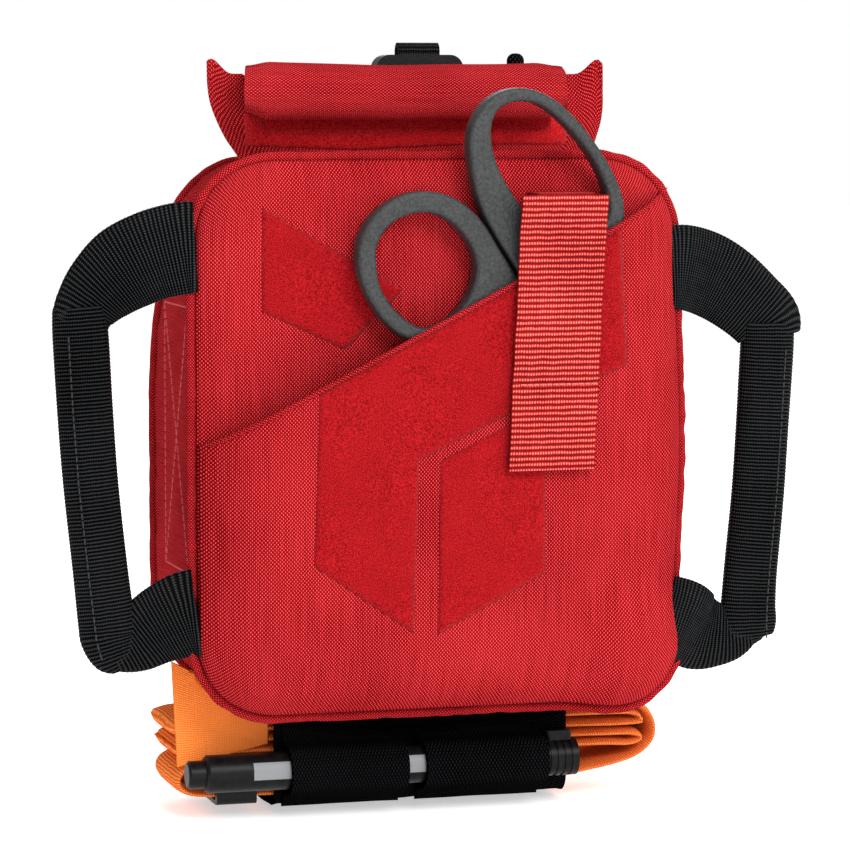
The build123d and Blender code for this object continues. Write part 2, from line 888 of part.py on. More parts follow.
clip_length = 9.0
with BuildPart() as marker_clip:
    with BuildSketch(Plane.XY.offset(marker_z + marker_radius - 0.6)):
        with Locations((marker_right - 1.5 - clip_length / 2, marker_y)):
            RectangleRounded(clip_length, 4.4, 1.4)
    extrude(amount=3.6)
    with BuildSketch(Plane.YZ.offset(marker_right - 1.5 - clip_length)):
        with Locations((marker_y, marker_z)):
            Circle(marker_radius)
    extrude(amount=clip_length, mode=Mode.SUBTRACT)
write(marker_clip.part, "marker_clip")

# ------------------------------------------------------------------- tourniquet
fold_right = 77.0
fold_left = -84.0
plate_half = 48.0
rod_half = 44.0
rod_play = 18.0  # inner width of the clip, it lets the rod turn a few degrees
ribbon_width = 16.0
tail_thickness = 1.8

bottom_layer_z = rod_z - rod_radius + 1.6
band_front = mid_y - band_width / 2
band_back = mid_y + band_width / 2
half_turn = layer_pitch / 2
right_ring = (top_layer_z - bottom_layer_z) / 2
left_ring = (layers[-1] - bottom_layer_z) / 2

with BuildPart() as tourniquet_band:
    with BuildSketch(front_plane(band_back)):
        with BuildLine() as folds:
            Line((plate_half + 2.5, bottom_layer_z), (fold_right, bottom_layer_z))
            ThreePointArc(
                (fold_right, bottom_layer_z),
                (fold_right + right_ring, (top_layer_z + bottom_layer_z) / 2),
                (fold_right, top_layer_z),
            )
            Line((fold_right, layers[0]), (fold_left, layers[0]))
            for n in range(4):
                turn_x = fold_left if n % 2 == 0 else fold_right - 2
                next_x = fold_right - 2 if n % 2 == 0 else fold_left + 2 * n
                bulge = -half_turn if n % 2 == 0 else half_turn
                start_x = turn_x if n != 2 else fold_left + 2
                ThreePointArc(
                    (start_x, layers[n]),
                    (start_x + bulge, layers[n] - half_turn),
                    (start_x, layers[n + 1]),
                )
                Line((start_x, layers[n + 1]), (next_x, layers[n + 1]))
            ThreePointArc(
                (fold_left + 6, layers[4]),
                (fold_left + 6 - left_ring, (layers[4] + bottom_layer_z) / 2),
                (fold_left + 6, bottom_layer_z),
            )
            Line((fold_left + 6, bottom_layer_z), (-plate_half - 2.5, bottom_layer_z))
        trace(line_width=band_thickness)
    extrude(amount=band_width)
write(tourniquet_band.part, "tourniquet_band")

# The flat end of the band hangs in front of the folds, under the pouch's left corner.
tail_y = band_front - CLEAR
tail_top = [(-87.5, 12.5), (-80, 3.53), (-72, 1.36), (-62, 1.95), (-54.4, 2.5)]  # x and drop below the pouch
tail_foot = [(-54.4, -107), (-86.5, -113.5)]


def under_pouch(x, drop):
    """Height that lies drop below the pouch's rounded lower edge at x."""
    past = max(0.0, abs(x) - side_edge + corner_radius)
    return corner_radius - top_edge - sqrt(max(0.0, corner_radius**2 - past**2)) - drop


tail_outline = [(x, under_pouch(x, drop)) for x, drop in tail_top]
tail_outline += [(x, z + gusset_bottom + 93.5) for x, z in tail_foot]
with BuildPart() as band_tail:
    with BuildSketch(front_plane(tail_y)):
        with BuildLine():
            Polyline(*tail_outline, close=True)
        make_face()
    extrude(amount=tail_thickness)
write(band_tail.part, "tourniquet_band_end")

with BuildPart() as base_plate:
    with BuildSketch(Plane.XY.offset(plate_bottom)):
        with Locations((0, mid_y)):
            RectangleRounded(2 * plate_half, band_width - 2, 5)
            with GridLocations(2 * plate_half - 14, 0, 2, 1):
                Rectangle(3, 26, mode=Mode.SUBTRACT)
    extrude(amount=plate_thickness)
write(base_plate.part, "tourniquet_base_plate")

clip_x = 39.0
clip_span = 10.0
clip_wall = 2.4
clip_mouth = 9.2
with BuildPart() as windlass_clip:
    clip_height = plate_bottom - clip_bottom + clip_foot
    with BuildSketch(Plane.YZ.offset(clip_x - clip_span / 2)):
        with Locations((mid_y, plate_bottom)):
            Rectangle(rod_play + 2 * clip_wall, clip_height, align=(Align.CENTER, Align.MAX))
        with Locations((mid_y, plate_bottom - clip_web)):
            Rectangle(
                rod_play,
                clip_height - clip_web - clip_foot,
                align=(Align.CENTER, Align.MAX),
                mode=Mode.SUBTRACT,
            )
        with Locations((mid_y, clip_bottom)):
            Rectangle(clip_mouth, 3 * clip_foot, mode=Mode.SUBTRACT)
    extrude(amount=clip_span)
write(windlass_clip.part, "windlass_clip")

slot_length = 20.0
slot_height = 2.2
with BuildPart() as windlass_rod:
    with BuildSketch(Plane.YZ.offset(-rod_half)):
        with Locations((mid_y, rod_z)):
            Circle(rod_radius)
    extrude(amount=2 * rod_half)
    fillet(windlass_rod.edges(), 1.6)
    for n in range(7):
        for edge in (-1, 1):
            with BuildSketch(Plane.YZ.offset(edge * (rod_half - 6 - 3.2 * n) - 0.6)):
                with Locations((mid_y, rod_z)):
                    Circle(rod_radius + 0.2)
                    Circle(rod_radius - 0.45, mode=Mode.SUBTRACT)
            extrude(amount=1.2, mode=Mode.SUBTRACT)
    with BuildSketch(front_plane(mid_y + rod_radius + 1)):
        with Locations((0, rod_z)):
            SlotOverall(slot_length, slot_height)
    extrude(amount=2 * rod_radius + 2, mode=Mode.SUBTRACT)
write(windlass_rod.part, "windlass_rod")

ribbon_thickness = 1.0
with BuildPart() as windlass_ribbon:
    with BuildSketch(Plane.YZ.offset(-ribbon_width / 2)):
        with Locations((mid_y, rod_z)):
            Rectangle(2 * rod_radius + 5, ribbon_thickness)
        for edge in (-1, 1):
            with Locations((mid_y + edge * (rod_radius + 2), rod_z - ribbon_thickness / 2)):
                Rectangle(
                    ribbon_thickness,
                    plate_bottom - rod_z + ribbon_thickness / 2,
                    align=(Align.CENTER, Align.MIN),
                )
    extrude(amount=ribbon_width)
write(windlass_ribbon.part, "windlass_ribbon")

buckle_frame_x = -66.0
buckle_frame_length = 14.0
buckle_frame_height = 6.0
with BuildPart() as band_buckle:
    with BuildSketch(Plane.YZ.offset(buckle_frame_x - buckle_frame_length / 2)):
        with Locations((mid_y, bottom_layer_z)):
            RectangleRounded(band_width + 7, buckle_frame_height, 2)
            Rectangle(band_width + 1, band_thickness + 0.8, mode=Mode.SUBTRACT)
    extrude(amount=buckle_frame_length)
    with BuildSketch(Plane.XY.offset(bottom_layer_z + 1.6)):
        with Locations((buckle_frame_x, mid_y)):
            Rectangle(5, band_width - 4)
    extrude(amount=buckle_frame_height, mode=Mode.SUBTRACT)
write(band_buckle.part, "tourniquet_buckle")

time_strap_x = 27.0
with BuildPart() as time_strap:
    with BuildSketch(Plane.XY.offset(clip_bottom - 1.0)):
        with Locations((time_strap_x, mid_y)):
            Rectangle(12, band_width - 2)
    extrude(amount=1.0)
    for edge in (-1, 1):
        with BuildSketch(Plane.XY.offset(clip_bottom)):
            with Locations((time_strap_x, mid_y + edge * (band_width / 2 - 1.5))):
                Rectangle(12, 1.0)
        extrude(amount=plate_bottom - clip_bottom)
write(time_strap.part, "tourniquet_time_strap")

# ------------------------------------------------------------------- belt loops
belt_strap_centres = 76.0
belt_strap_width = 25.0
belt_strap_thickness = 2.0
belt_room = 57.0
anchor_height = 8.0
snap_radius = 6.0
stud_radius = 3.5

gap_front = back_y
gap_back = belt_gap / 2
anchor_z = belt_room / 2 + anchor_height / 2
snap_z = -belt_room / 2 - snap_radius

with BuildPart() as belt_anchors:
    with BuildSketch(front_plane(gap_back)):
        with Locations((0, anchor_z)):
            with GridLocations(belt_strap_centres, 0, 2, 1):
                Rectangle(belt_strap_width, anchor_height)
    extrude(amount=belt_gap)
write(belt_anchors.part, "belt_strap_anchors")

with BuildPart() as snap_studs:
    with BuildSketch(front_plane(gap_back)):
        with Locations((0, snap_z)):
            with GridLocations(belt_strap_centres, 0, 2, 1):
                Circle(snap_radius)
    extrude(amount=belt_gap)
write(snap_studs.part, "snap_studs")

for side, centre in (("left", -belt_strap_centres / 2), ("right", belt_strap_centres / 2)):
    with BuildPart() as belt_strap:
        with BuildSketch(front_plane(gap_back + belt_strap_thickness)):
            with Locations((centre, (anchor_z + anchor_height / 2 + snap_z - 12) / 2)):
                RectangleRounded(belt_strap_width, anchor_z + anchor_height / 2 - snap_z + 12, 3)
        extrude(amount=belt_strap_thickness - 0.1)
        with BuildSketch(front_plane(gap_back + belt_strap_thickness)):
            with Locations((centre, snap_z)):
                Circle(snap_radius + CLEAR)
        extrude(amount=belt_strap_thickness, mode=Mode.SUBTRACT)
    write(belt_strap.part, f"belt_strap_{side}")
    with BuildPart() as snap_cap:
        with BuildSketch(front_plane(gap_back + belt_strap_thickness)):
            with Locations((centre, snap_z)):
                Circle(snap_radius)
        extrude(amount=belt_strap_thickness - 0.1)
    write(snap_cap.part, f"snap_cap_{side}")
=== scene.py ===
"""A padded red trauma pouch: rolled closure, shears in a slant pocket, marker and a stowed tourniquet."""

from math import cos, exp, hypot, pi, radians, sin, sqrt, tan

import bmesh
import bpy
from mathutils import Matrix, Vector, noise


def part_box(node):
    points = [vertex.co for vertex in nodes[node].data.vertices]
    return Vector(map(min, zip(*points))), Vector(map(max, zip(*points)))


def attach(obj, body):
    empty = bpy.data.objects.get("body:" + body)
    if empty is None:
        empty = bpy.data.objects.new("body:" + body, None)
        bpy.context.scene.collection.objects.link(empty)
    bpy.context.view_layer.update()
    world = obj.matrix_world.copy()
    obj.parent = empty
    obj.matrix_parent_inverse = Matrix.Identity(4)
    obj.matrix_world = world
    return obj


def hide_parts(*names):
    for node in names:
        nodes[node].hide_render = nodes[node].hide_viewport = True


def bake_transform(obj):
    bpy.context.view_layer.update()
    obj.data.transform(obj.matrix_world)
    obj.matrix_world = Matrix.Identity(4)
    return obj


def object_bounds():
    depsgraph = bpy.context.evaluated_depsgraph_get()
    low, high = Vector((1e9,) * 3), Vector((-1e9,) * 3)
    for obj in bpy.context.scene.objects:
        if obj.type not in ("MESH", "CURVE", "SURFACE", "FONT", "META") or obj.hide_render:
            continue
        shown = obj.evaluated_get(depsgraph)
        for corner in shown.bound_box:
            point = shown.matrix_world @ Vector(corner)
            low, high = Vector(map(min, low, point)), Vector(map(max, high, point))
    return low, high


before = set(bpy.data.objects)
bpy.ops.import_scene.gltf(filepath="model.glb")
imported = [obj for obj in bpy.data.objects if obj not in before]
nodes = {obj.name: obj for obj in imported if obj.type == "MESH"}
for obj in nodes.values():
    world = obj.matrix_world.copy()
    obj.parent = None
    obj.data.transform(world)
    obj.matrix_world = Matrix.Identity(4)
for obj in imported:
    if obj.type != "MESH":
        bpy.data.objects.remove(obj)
cad_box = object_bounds()

# ---- Camera, floor and lights -------------------------------------------------
# The pouch is seen from a little to its left and a little above, through a long lens.
# Soft panels light it from the front and both sides, over a pale plain floor.
look_at = Vector((0, -0.060, 0.005))
turn, tilt, distance = radians(-16), radians(5), 1.3
camera = bpy.data.objects.new("camera", bpy.data.cameras.new("camera"))
bpy.context.scene.collection.objects.link(camera)
camera.location = look_at + distance * Vector((sin(turn) * cos(tilt), -cos(turn) * cos(tilt), sin(tilt)))
camera.rotation_euler = (look_at - camera.location).to_track_quat("-Z", "Y").to_euler()
camera.data.lens = 159.7
camera.data.shift_x = 0.0071
camera.data.shift_y = -0.0118
camera.data.clip_start = 0.05
bpy.context.scene.camera = camera
bpy.context.scene.view_settings.view_transform = "Standard"

world = bpy.data.worlds.new("studio")
bpy.context.scene.world = world
world.use_nodes = True
sky = world.node_tree.nodes["Background"]
sky.inputs["Color"].default_value = (1, 1, 1, 1)
sky.inputs["Strength"].default_value = 0.62
seen = world.node_tree.nodes.new("ShaderNodeBackground")
seen.inputs["Color"].default_value = (1, 1, 1, 1)
seen.inputs["Strength"].default_value = 1.0
ray = world.node_tree.nodes.new("ShaderNodeLightPath")
pick = world.node_tree.nodes.new("ShaderNodeMixShader")
world.node_tree.links.new(ray.outputs["Is Camera Ray"], pick.inputs[0])
world.node_tree.links.new(sky.outputs[0], pick.inputs[1])
world.node_tree.links.new(seen.outputs[0], pick.inputs[2])
world.node_tree.links.new(pick.outputs[0], world.node_tree.nodes["World Output"].inputs[0])

for name, place, power, size in (
    ("key", (0.35, -1.7, 1.15), 29, 0.9),
    ("low", (-0.2, -1.7, -0.05), 6, 0.8),
    ("fill", (1.3, -1.2, 0.3), 8, 1.2),
    ("top", (0.0, -0.2, 1.6), 10, 1.0),
    ("rear", (0.6, 1.4, 1.0), 10, 1.0),
):
    lamp = bpy.data.objects.new(name, bpy.data.lights.new(name, "AREA"))
    bpy.context.scene.collection.objects.link(lamp)
    lamp.data.energy = power
    lamp.data.size = size
    lamp.location = place
    lamp.rotation_euler = (look_at - lamp.location).to_track_quat("-Z", "Y").to_euler()

floor_bm = bmesh.new()
bmesh.ops.create_grid(floor_bm, x_segments=2, y_segments=2, size=6)
bmesh.ops.translate(floor_bm, verts=floor_bm.verts, vec=(0, 0, cad_box[0][2] - 0.001))
floor_mesh = bpy.data.meshes.new("floor")
floor_bm.to_mesh(floor_mesh)
floor_bm.free()
floor = bpy.data.objects.new("floor", floor_mesh)
bpy.context.scene.collection.objects.link(floor)
floor_paint = bpy.data.materials.new("pale_floor")
floor_paint.use_nodes = True
floor_shader = floor_paint.node_tree.nodes["Principled BSDF"]
floor_shader.inputs["Base Color"].default_value = (0.86, 0.86, 0.86, 1)
floor_shader.inputs["Emission Color"].default_value = (1, 1, 1, 1)
floor_shader.inputs["Emission Strength"].default_value = 0.5
floor_shader.inputs["Roughness"].default_value = 0.9
floor_mesh.materials.append(floor_paint)


# ---- Front panel ----------------------------------------------------------------
# A foam-backed nylon panel, rounded at its corners and rolled over into the seam all round.
# The weave is a node group that every cloth shares; it reads the piece's own UV, in metres.
def calc(tree, operation, a, b=None, c=None):
    """One Math node; a, b and c are sockets or numbers."""
    node = tree.nodes.new("ShaderNodeMath")
    node.operation = operation
    for index, value in enumerate((a, b, c)):
        if value is None:
            continue
        if isinstance(value, (int, float)):
            node.inputs[index].default_value = value
        else:
            tree.links.new(value, node.inputs[index])
    return node.outputs[0]


weave_group = bpy.data.node_groups.new("weave", "ShaderNodeTree")
weave_group.interface.new_socket("Vector", in_out="INPUT", socket_type="NodeSocketVector")
for socket in ("Across", "Along", "Waver"):
    weave_group.interface.new_socket(socket, in_out="INPUT", socket_type="NodeSocketFloat")
for socket in ("Height", "Over", "Rib"):
    weave_group.interface.new_socket(socket, in_out="OUTPUT", socket_type="NodeSocketFloat")
weave_in = weave_group.nodes.new("NodeGroupInput")
weave_out = weave_group.nodes.new("NodeGroupOutput")
drift = weave_group.nodes.new("ShaderNodeTexNoise")
drift.inputs["Scale"].default_value = 260
drift.inputs["Detail"].default_value = 1
weave_group.links.new(weave_in.outputs["Vector"], drift.inputs["Vector"])
part = weave_group.nodes.new("ShaderNodeSeparateXYZ")
weave_group.links.new(weave_in.outputs["Vector"], part.inputs[0])
unsteady = calc(weave_group, "SUBTRACT", drift.outputs[0], 0.5)
wander = calc(weave_group, "MULTIPLY", unsteady, weave_in.outputs["Waver"])


def thread_count(axis, pitch):
    """Threads counted along one axis of the map, wandering a little."""
    steady = calc(weave_group, "DIVIDE", part.outputs[axis], weave_in.outputs[pitch])
    return calc(weave_group, "ADD", steady, wander)


def thread_ridge(count):
    """Round height of each thread, from 0 between threads to 1."""
    return calc(weave_group, "ABSOLUTE", calc(weave_group, "SINE", calc(weave_group, "MULTIPLY", count, pi)))


across, along = thread_count(0, "Across"), thread_count(1, "Along")
ridge_across, ridge_along = thread_ridge(across), thread_ridge(along)
parity = calc(
    weave_group,
    "FLOORED_MODULO",
    calc(weave_group, "ADD", calc(weave_group, "FLOOR", across), calc(weave_group, "FLOOR", along)),
    2.0,
)
warp = calc(weave_group, "MULTIPLY", ridge_across, calc(weave_group, "MULTIPLY_ADD", ridge_along, 0.45, 0.55))
weft = calc(weave_group, "MULTIPLY", ridge_along, calc(weave_group, "MULTIPLY_ADD", ridge_across, 0.45, 0.4))
picked = calc(
    weave_group,
    "ADD",
    calc(weave_group, "MULTIPLY", warp, parity),
    calc(weave_group, "MULTIPLY", weft, calc(weave_group, "SUBTRACT", 1.0, parity)),
)
weave_group.links.new(picked, weave_out.inputs["Height"])
weave_group.links.new(parity, weave_out.inputs["Over"])
rib = calc(weave_group, "MULTIPLY", ridge_along, calc(weave_group, "MULTIPLY_ADD", ridge_across, 0.5, 0.5))
weave_group.links.new(rib, weave_out.inputs["Rib"])


def cloth(
    name,
    colour,
    shade,
    across,
    along,
    relief,
    rough=0.85,
    waver=0.5,
    blotch=0.3,
    ribs=False,
    shine=0.0,
    body=(0.42, 0.09, 0.10),
    mapped=True,
):
    """Woven cloth: colour is a painted highlight on the threads' tops, shade is painted shade between them,
    across and along in metres a thread.

    A piece with no map of its own, mapped=False, is woven along X and Z.
    """
    material = bpy.data.materials.new(name)
    material.use_nodes = True
    tree = material.node_tree
    shader = tree.nodes["Principled BSDF"]
    place = tree.nodes.new("ShaderNodeTexCoord")
    if mapped:
        uv = tree.nodes.new("ShaderNodeUVMap")
        uv.uv_map = "cloth"
    else:
        uv = tree.nodes.new("ShaderNodeMapping")
        uv.inputs["Rotation"].default_value = (-pi / 2, 0, 0)
        tree.links.new(place.outputs["Object"], uv.inputs["Vector"])
    group = tree.nodes.new("ShaderNodeGroup")
    group.node_tree = weave_group
    group.inputs["Across"].default_value = across
    group.inputs["Along"].default_value = along
    group.inputs["Waver"].default_value = waver
    tree.links.new(uv.outputs[0], group.inputs["Vector"])
    streak_map = tree.nodes.new("ShaderNodeMapping")
    streak_map.inputs["Scale"].default_value = (1 / across, 40, 1)
    tree.links.new(uv.outputs[0], streak_map.inputs["Vector"])
    streak = tree.nodes.new("ShaderNodeTexNoise")
    streak.inputs["Scale"].default_value = 1.0
    streak.inputs["Detail"].default_value = 2
    tree.links.new(streak_map.outputs[0], streak.inputs["Vector"])
    cloud = tree.nodes.new("ShaderNodeTexNoise")
    cloud.inputs["Scale"].default_value = 22
    cloud.inputs["Detail"].default_value = 4
    tree.links.new(place.outputs["Object"], cloud.inputs["Vector"])
    # The thread's height drives the colour: raised tops get colour's painted highlight and the hollows
    # between threads painted shade; streak and cloud add random tone.
    thread_lift = calc(tree, "MULTIPLY_ADD", group.outputs["Over"], 0.75, 0.25)
    thread_lift = calc(tree, "MULTIPLY", group.outputs["Height"], thread_lift)
    if ribs:
        thread_lift = group.outputs["Rib"]
    thread_lift = calc(tree, "POWER", thread_lift, 2.0 if ribs else 1.5)
    lift = calc(tree, "MULTIPLY_ADD", thread_lift, 1.15, calc(tree, "MULTIPLY", streak.outputs[0], blotch))
    lift = calc(tree, "ADD", lift, calc(tree, "MULTIPLY_ADD", cloud.outputs[0], 0.5, -0.37))
    ramp = tree.nodes.new("ShaderNodeValToRGB")
    ramp.color_ramp.elements[0].color = (*shade, 1)
    ramp.color_ramp.elements[1].color = (*colour, 1)
    # The middle stop is the cloth's own tone; body gives each channel's share of the way from the painted
    # shade to the painted highlight.
    middle = ramp.color_ramp.elements.new(0.55)
    middle.color = (*[low + (high - low) * share for low, high, share in zip(shade, colour, body)], 1)
    tree.links.new(lift, ramp.inputs[0])
    tree.links.new(ramp.outputs[0], shader.inputs["Base Color"])
    bump = tree.nodes.new("ShaderNodeBump")
    bump.inputs["Strength"].default_value = 1.0
    bump.inputs["Distance"].default_value = relief
    tree.links.new(group.outputs["Rib" if ribs else "Height"], bump.inputs["Height"])
    tree.links.new(bump.outputs[0], shader.inputs["Normal"])
    shader.inputs["Roughness"].default_value = rough
    shader.inputs["Specular IOR Level"].default_value = shine
    return material


# Red nylon: a painted highlight on the thread tops over painted shade between the threads.
red_thread_highlight, red_shade = (0.80, 0.080, 0.092), (0.115, 0.0006, 0.0015)
nylon_thread, nylon_relief = 0.0006, 0.0002
red_nylon = cloth(
    "red_nylon", red_thread_highlight, red_shade, nylon_thread, 0.00066, nylon_relief, waver=0.8, blotch=0.45
)


def grid_sheet(columns, rows, size, place, spread=float):
    """Cloth woven from a grid: place(u, v) gives each point in millimetres, size scales its UV in metres.

    spread gives the share of the width that lies before u, where the columns aren't evenly spaced.
    """
    bm = bmesh.new()
    layer = bm.loops.layers.uv.new("cloth")
    bmesh.ops.create_grid(bm, x_segments=columns, y_segments=rows, size=1, calc_uvs=True)
    for face in bm.faces:
        for loop in face.loops:
            loop[layer].uv = (spread((loop.vert.co.x + 1) / 2) * size[0], (loop.vert.co.y + 1) / 2 * size[1])
    for vert in bm.verts:
        vert.co = Vector(place((vert.co.x + 1) / 2, (vert.co.y + 1) / 2)) * 0.001
    return bm


def finish_piece(name, bm, body, material, replaced=(), thick=0.0, outward=None, offset=-1.0):
    """Turns a bmesh into a piece of the pouch; thick gives a sheet its body, in millimetres."""
    bmesh.ops.remove_doubles(bm, verts=bm.verts, dist=0.000002)
    bm.normal_update()
    if outward is not None:
        probe = sum((f.normal * f.calc_area() for f in bm.faces), Vector())
        if probe.dot(Vector(outward)) < 0:
            bmesh.ops.reverse_faces(bm, faces=bm.faces)
    else:
        bmesh.ops.recalc_face_normals(bm, faces=bm.faces)
    mesh = bpy.data.meshes.new(name)
    bm.to_mesh(mesh)
    bm.free()
    mesh.materials.append(material)
    mesh.polygons.foreach_set("use_smooth", [True] * len(mesh.polygons))
    piece = bpy.data.objects.new(name, mesh)
    bpy.context.scene.collection.objects.link(piece)
    if thick:
        shell = piece.modifiers.new("thickness", "SOLIDIFY")
        shell.thickness = thick * 0.001
        shell.offset = offset
    if body:
        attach(piece, body)
    if replaced:
        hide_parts(*replaced)
    return piece


def round_corner(u, v, half_width, half_height, radius):
    """Lays a square's point (u, v), each from -1 to 1, into a rectangle with round corners."""
    x, z = u * half_width, v * half_height
    straight_x, straight_z = half_width - radius, half_height - radius
    if abs(x) > straight_x and abs(z) > straight_z:
        a, b = (abs(x) - straight_x) / radius, (abs(z) - straight_z) / radius
        x = (straight_x + radius * a * sqrt(1 - b * b / 2)) * (1 if x > 0 else -1)
        z = (straight_z + radius * b * sqrt(1 - a * a / 2)) * (1 if z > 0 else -1)
    return x, z


def inside(x, z, half_width, half_height, radius):
    """Distance in from a rounded rectangle's edge."""
    dx, dz = abs(x) - half_width + radius, abs(z) - half_height + radius
    if dx > 0 and dz > 0:
        return radius - hypot(dx, dz)
    return min(half_width - abs(x), half_height - abs(z))


def ripple(x, y, z, size):
    """Smooth random value from -1 to 1 that changes over size millimetres."""
    return noise.noise(Vector((x, y, z)) / size)


panel_half = (84.3, 93.8)
panel_radius = 27.5
seam_front = -82.0


def smooth_step(low, high, value):
    t = max(0.0, min(1.0, (value - low) / (high - low)))
    return t * t * (3 - 2 * t)


def settle(x, y, z):
    """The full pouch swells at its lower right; its soft back is drawn in, most at the top."""
    corner = smooth_step(-45, -80, z) * smooth_step(40, 72, x)
    x += 3.4 * corner + 2.6 * smooth_step(55, 84, x) * exp(-(((z + 5) / 45) ** 2))
    z -= 3.4 * corner
    back = max(0.0, min(1.0, (y - seam_front) / 76))
    pull = back * (3.5 + 6.5 * smooth_step(10, 85, z) + 2.0 * smooth_step(-50, -90, z))
    pull *= smooth_step(30, 78, abs(x))
    return x - (pull if x > 0 else -pull), y, z - 3.0 * back * smooth_step(50, 92, z)


def rolled_rise(depth_in, reach):
    """How far a padded panel stands up, from 0 at its seam to 1."""
    s = max(0.0, min(1.0, depth_in / reach))
    return (1 - (1 - s) ** 2.3) ** 0.62


def front_surface(x, z):
    """Depth of the front panel's face."""
    edge = inside(x, z, *panel_half, panel_radius)
    pucker = 0.55 * exp(-max(edge, 0) / 7) * ripple(x, 0, z, 6) * min(1, max(edge, 0) / 2)
    crease = 0.5 * ripple(x, 3, z, 34) + 0.18 * ripple(x, 9, z, 11)
    groove = -0.35 * exp(-((edge - 4.0) / 1.2) ** 2)
    stand = 8.2 * rolled_rise(edge, 20) + (crease + pucker) * min(1, max(edge, 0) / 6) + groove
    return seam_front - stand


def front_place(u, v):
    x, z = round_corner(2 * u - 1, 2 * v - 1, *panel_half, panel_radius)
    return settle(x, front_surface(x, z), z)


front_panel = finish_piece(
    "front_panel_cloth",
    grid_sheet(150, 166, (0.17, 0.189), front_place),
    "pouch",
    red_nylon,
    ("front_panel", "front_foam"),
    thick=1.0,
    outward=(0, -1, 0),
)

# ---- Gusset -------------------------------------------------------------------
# One long strip of the same nylon wraps the pouch between the two panels, softly hollow
# between its seams. A box-stitched reinforcement shows on each side under the handles.
gusset_half = (83.4, 92.9)
gusset_radius = 26.6
gusset_back = -6.0


def ring_point(s, half_width, half_height, radius):
    """Point, outward direction and run length at s from 0 to 1 round a rounded rectangle, from the foot."""
    straight_x, straight_z = 2 * (half_width - radius), 2 * (half_height - radius)
    quarter = pi * radius / 2
    total = 2 * straight_x + 2 * straight_z + 4 * quarter
    run = (s % 1.0) * total
    left = run - straight_x / 2
    if left < 0:
        return (run, -half_height), (0, -1), run
    turn_from = -90
    centre = [(1, -1), (1, 1), (-1, 1), (-1, -1)]
    spans = [straight_z, straight_x, straight_z, straight_x / 2]
    for (sx, sz), span in zip(centre, spans):
        cx, cz = sx * (half_width - radius), sz * (half_height - radius)
        if left < quarter:
            a = radians(turn_from) + left / radius
            return (cx + radius * cos(a), cz + radius * sin(a)), (cos(a), sin(a)), run
        left -= quarter
        turn_from += 90
        a = radians(turn_from)
        if left < span or span == spans[-1]:
            nx, nz = cos(a), sin(a)
            return (cx + radius * nx - nz * left, cz + radius * nz + nx * left), (nx, nz), run
        left -= span
    return (0, -half_height), (0, -1), run


gusset_length = 4 * (gusset_half[0] + gusset_half[1] - 2 * gusset_radius) + 2 * pi * gusset_radius


def gusset_place(u, v):
    (x, z), (nx, nz), run = ring_point(u, *gusset_half, gusset_radius)
    y = gusset_back + v * (seam_front - gusset_back)
    belly = sin(pi * v)
    sink = -0.9 * belly + 0.9 * ripple(run, y, 0, 30) * belly + 0.35 * ripple(run, y, 7, 9) * belly
    sink += 0.5 * ripple(run, y, 4, 5) * (1 - belly) ** 3 + 1.5 * (1 - belly) ** 4
    return settle(x + nx * sink, y, z + nz * sink)


finish_piece(
    "gusset_cloth",
    grid_sheet(420, 48, (gusset_length * 0.001, 0.076), gusset_place),
    "pouch",
    red_nylon,
    ("gusset",),
    thick=1.0,
)


def stitch_row(bm, start, end, out, pitch=3.0, radius=0.28, gap=0.25):
    """A row of thread stitches from start to end, in millimetres, lying proud along out."""
    start, end, out = Vector(start), Vector(end), Vector(out).normalized()
    run = end - start
    count = max(1, int(run.length / pitch))
    length = run.length / count
    for n in range(count):
        middle = start + run * ((n + 0.5) / count)
        made = bmesh.ops.create_cone(
            bm, cap_ends=True, segments=6, radius1=radius, radius2=radius, depth=length * (1 - gap)
        )
        side = out.cross(run).normalized()
        turn_to = Matrix((side, out, run.normalized())).transposed().to_4x4()
        bmesh.ops.transform(bm, matrix=Matrix.Translation(middle) @ turn_to, verts=made["verts"])
    return bm


def thread(name, colour):
    """Twisted sewing thread."""
    material = bpy.data.materials.new(name)
    material.use_nodes = True
    tree = material.node_tree
    shader = tree.nodes["Principled BSDF"]
    place = tree.nodes.new("ShaderNodeTexCoord")
    fleck = tree.nodes.new("ShaderNodeTexNoise")
    fleck.inputs["Scale"].default_value = 1500
    tree.links.new(place.outputs["Object"], fleck.inputs["Vector"])
    mix = tree.nodes.new("ShaderNodeMix")
    mix.data_type = "RGBA"
    mix.inputs[6].default_value = (*[c * 0.6 for c in colour], 1)
    mix.inputs[7].default_value = (*colour, 1)
    tree.links.new(fleck.outputs[0], mix.inputs[0])
    tree.links.new(mix.outputs[2], shader.inputs["Base Color"])
    shader.inputs["Roughness"].default_value = 0.7
    return material


red_thread = thread("red_thread", (0.72, 0.07, 0.09))


def stitch_piece(name, rows, body, material, slot, **how):
    """A sewn line made of rows of (start, end, out)."""
    bm = bmesh.new()
    for start, end, out in rows:
        stitch_row(bm, start, end, out, **how)
    bmesh.ops.scale(bm, vec=(0.001, 0.001, 0.001), verts=bm.verts)
    return finish_piece(name, bm, body, material)


for side, name in ((-1, "left"), (1, "right")):
    face_x = side * 83.6
    box = [(-70, 44), (-70, -46), (-34, -46), (-34, 44)]
    rows = [
        ((face_x, a[0], a[1]), (face_x, b[0], b[1]), (side, 0, 0))
        for a, b in zip(box + [box[0], box[1]], box[1:] + [box[0], box[2], box[3]])
        if a != b
    ]
    rows.append(((face_x, -70, 44), (face_x, -34, -46), (side, 0, 0)))
    stitch_piece(f"gusset_stitching_{name}", rows, "pouch", red_thread, "red_fabric")

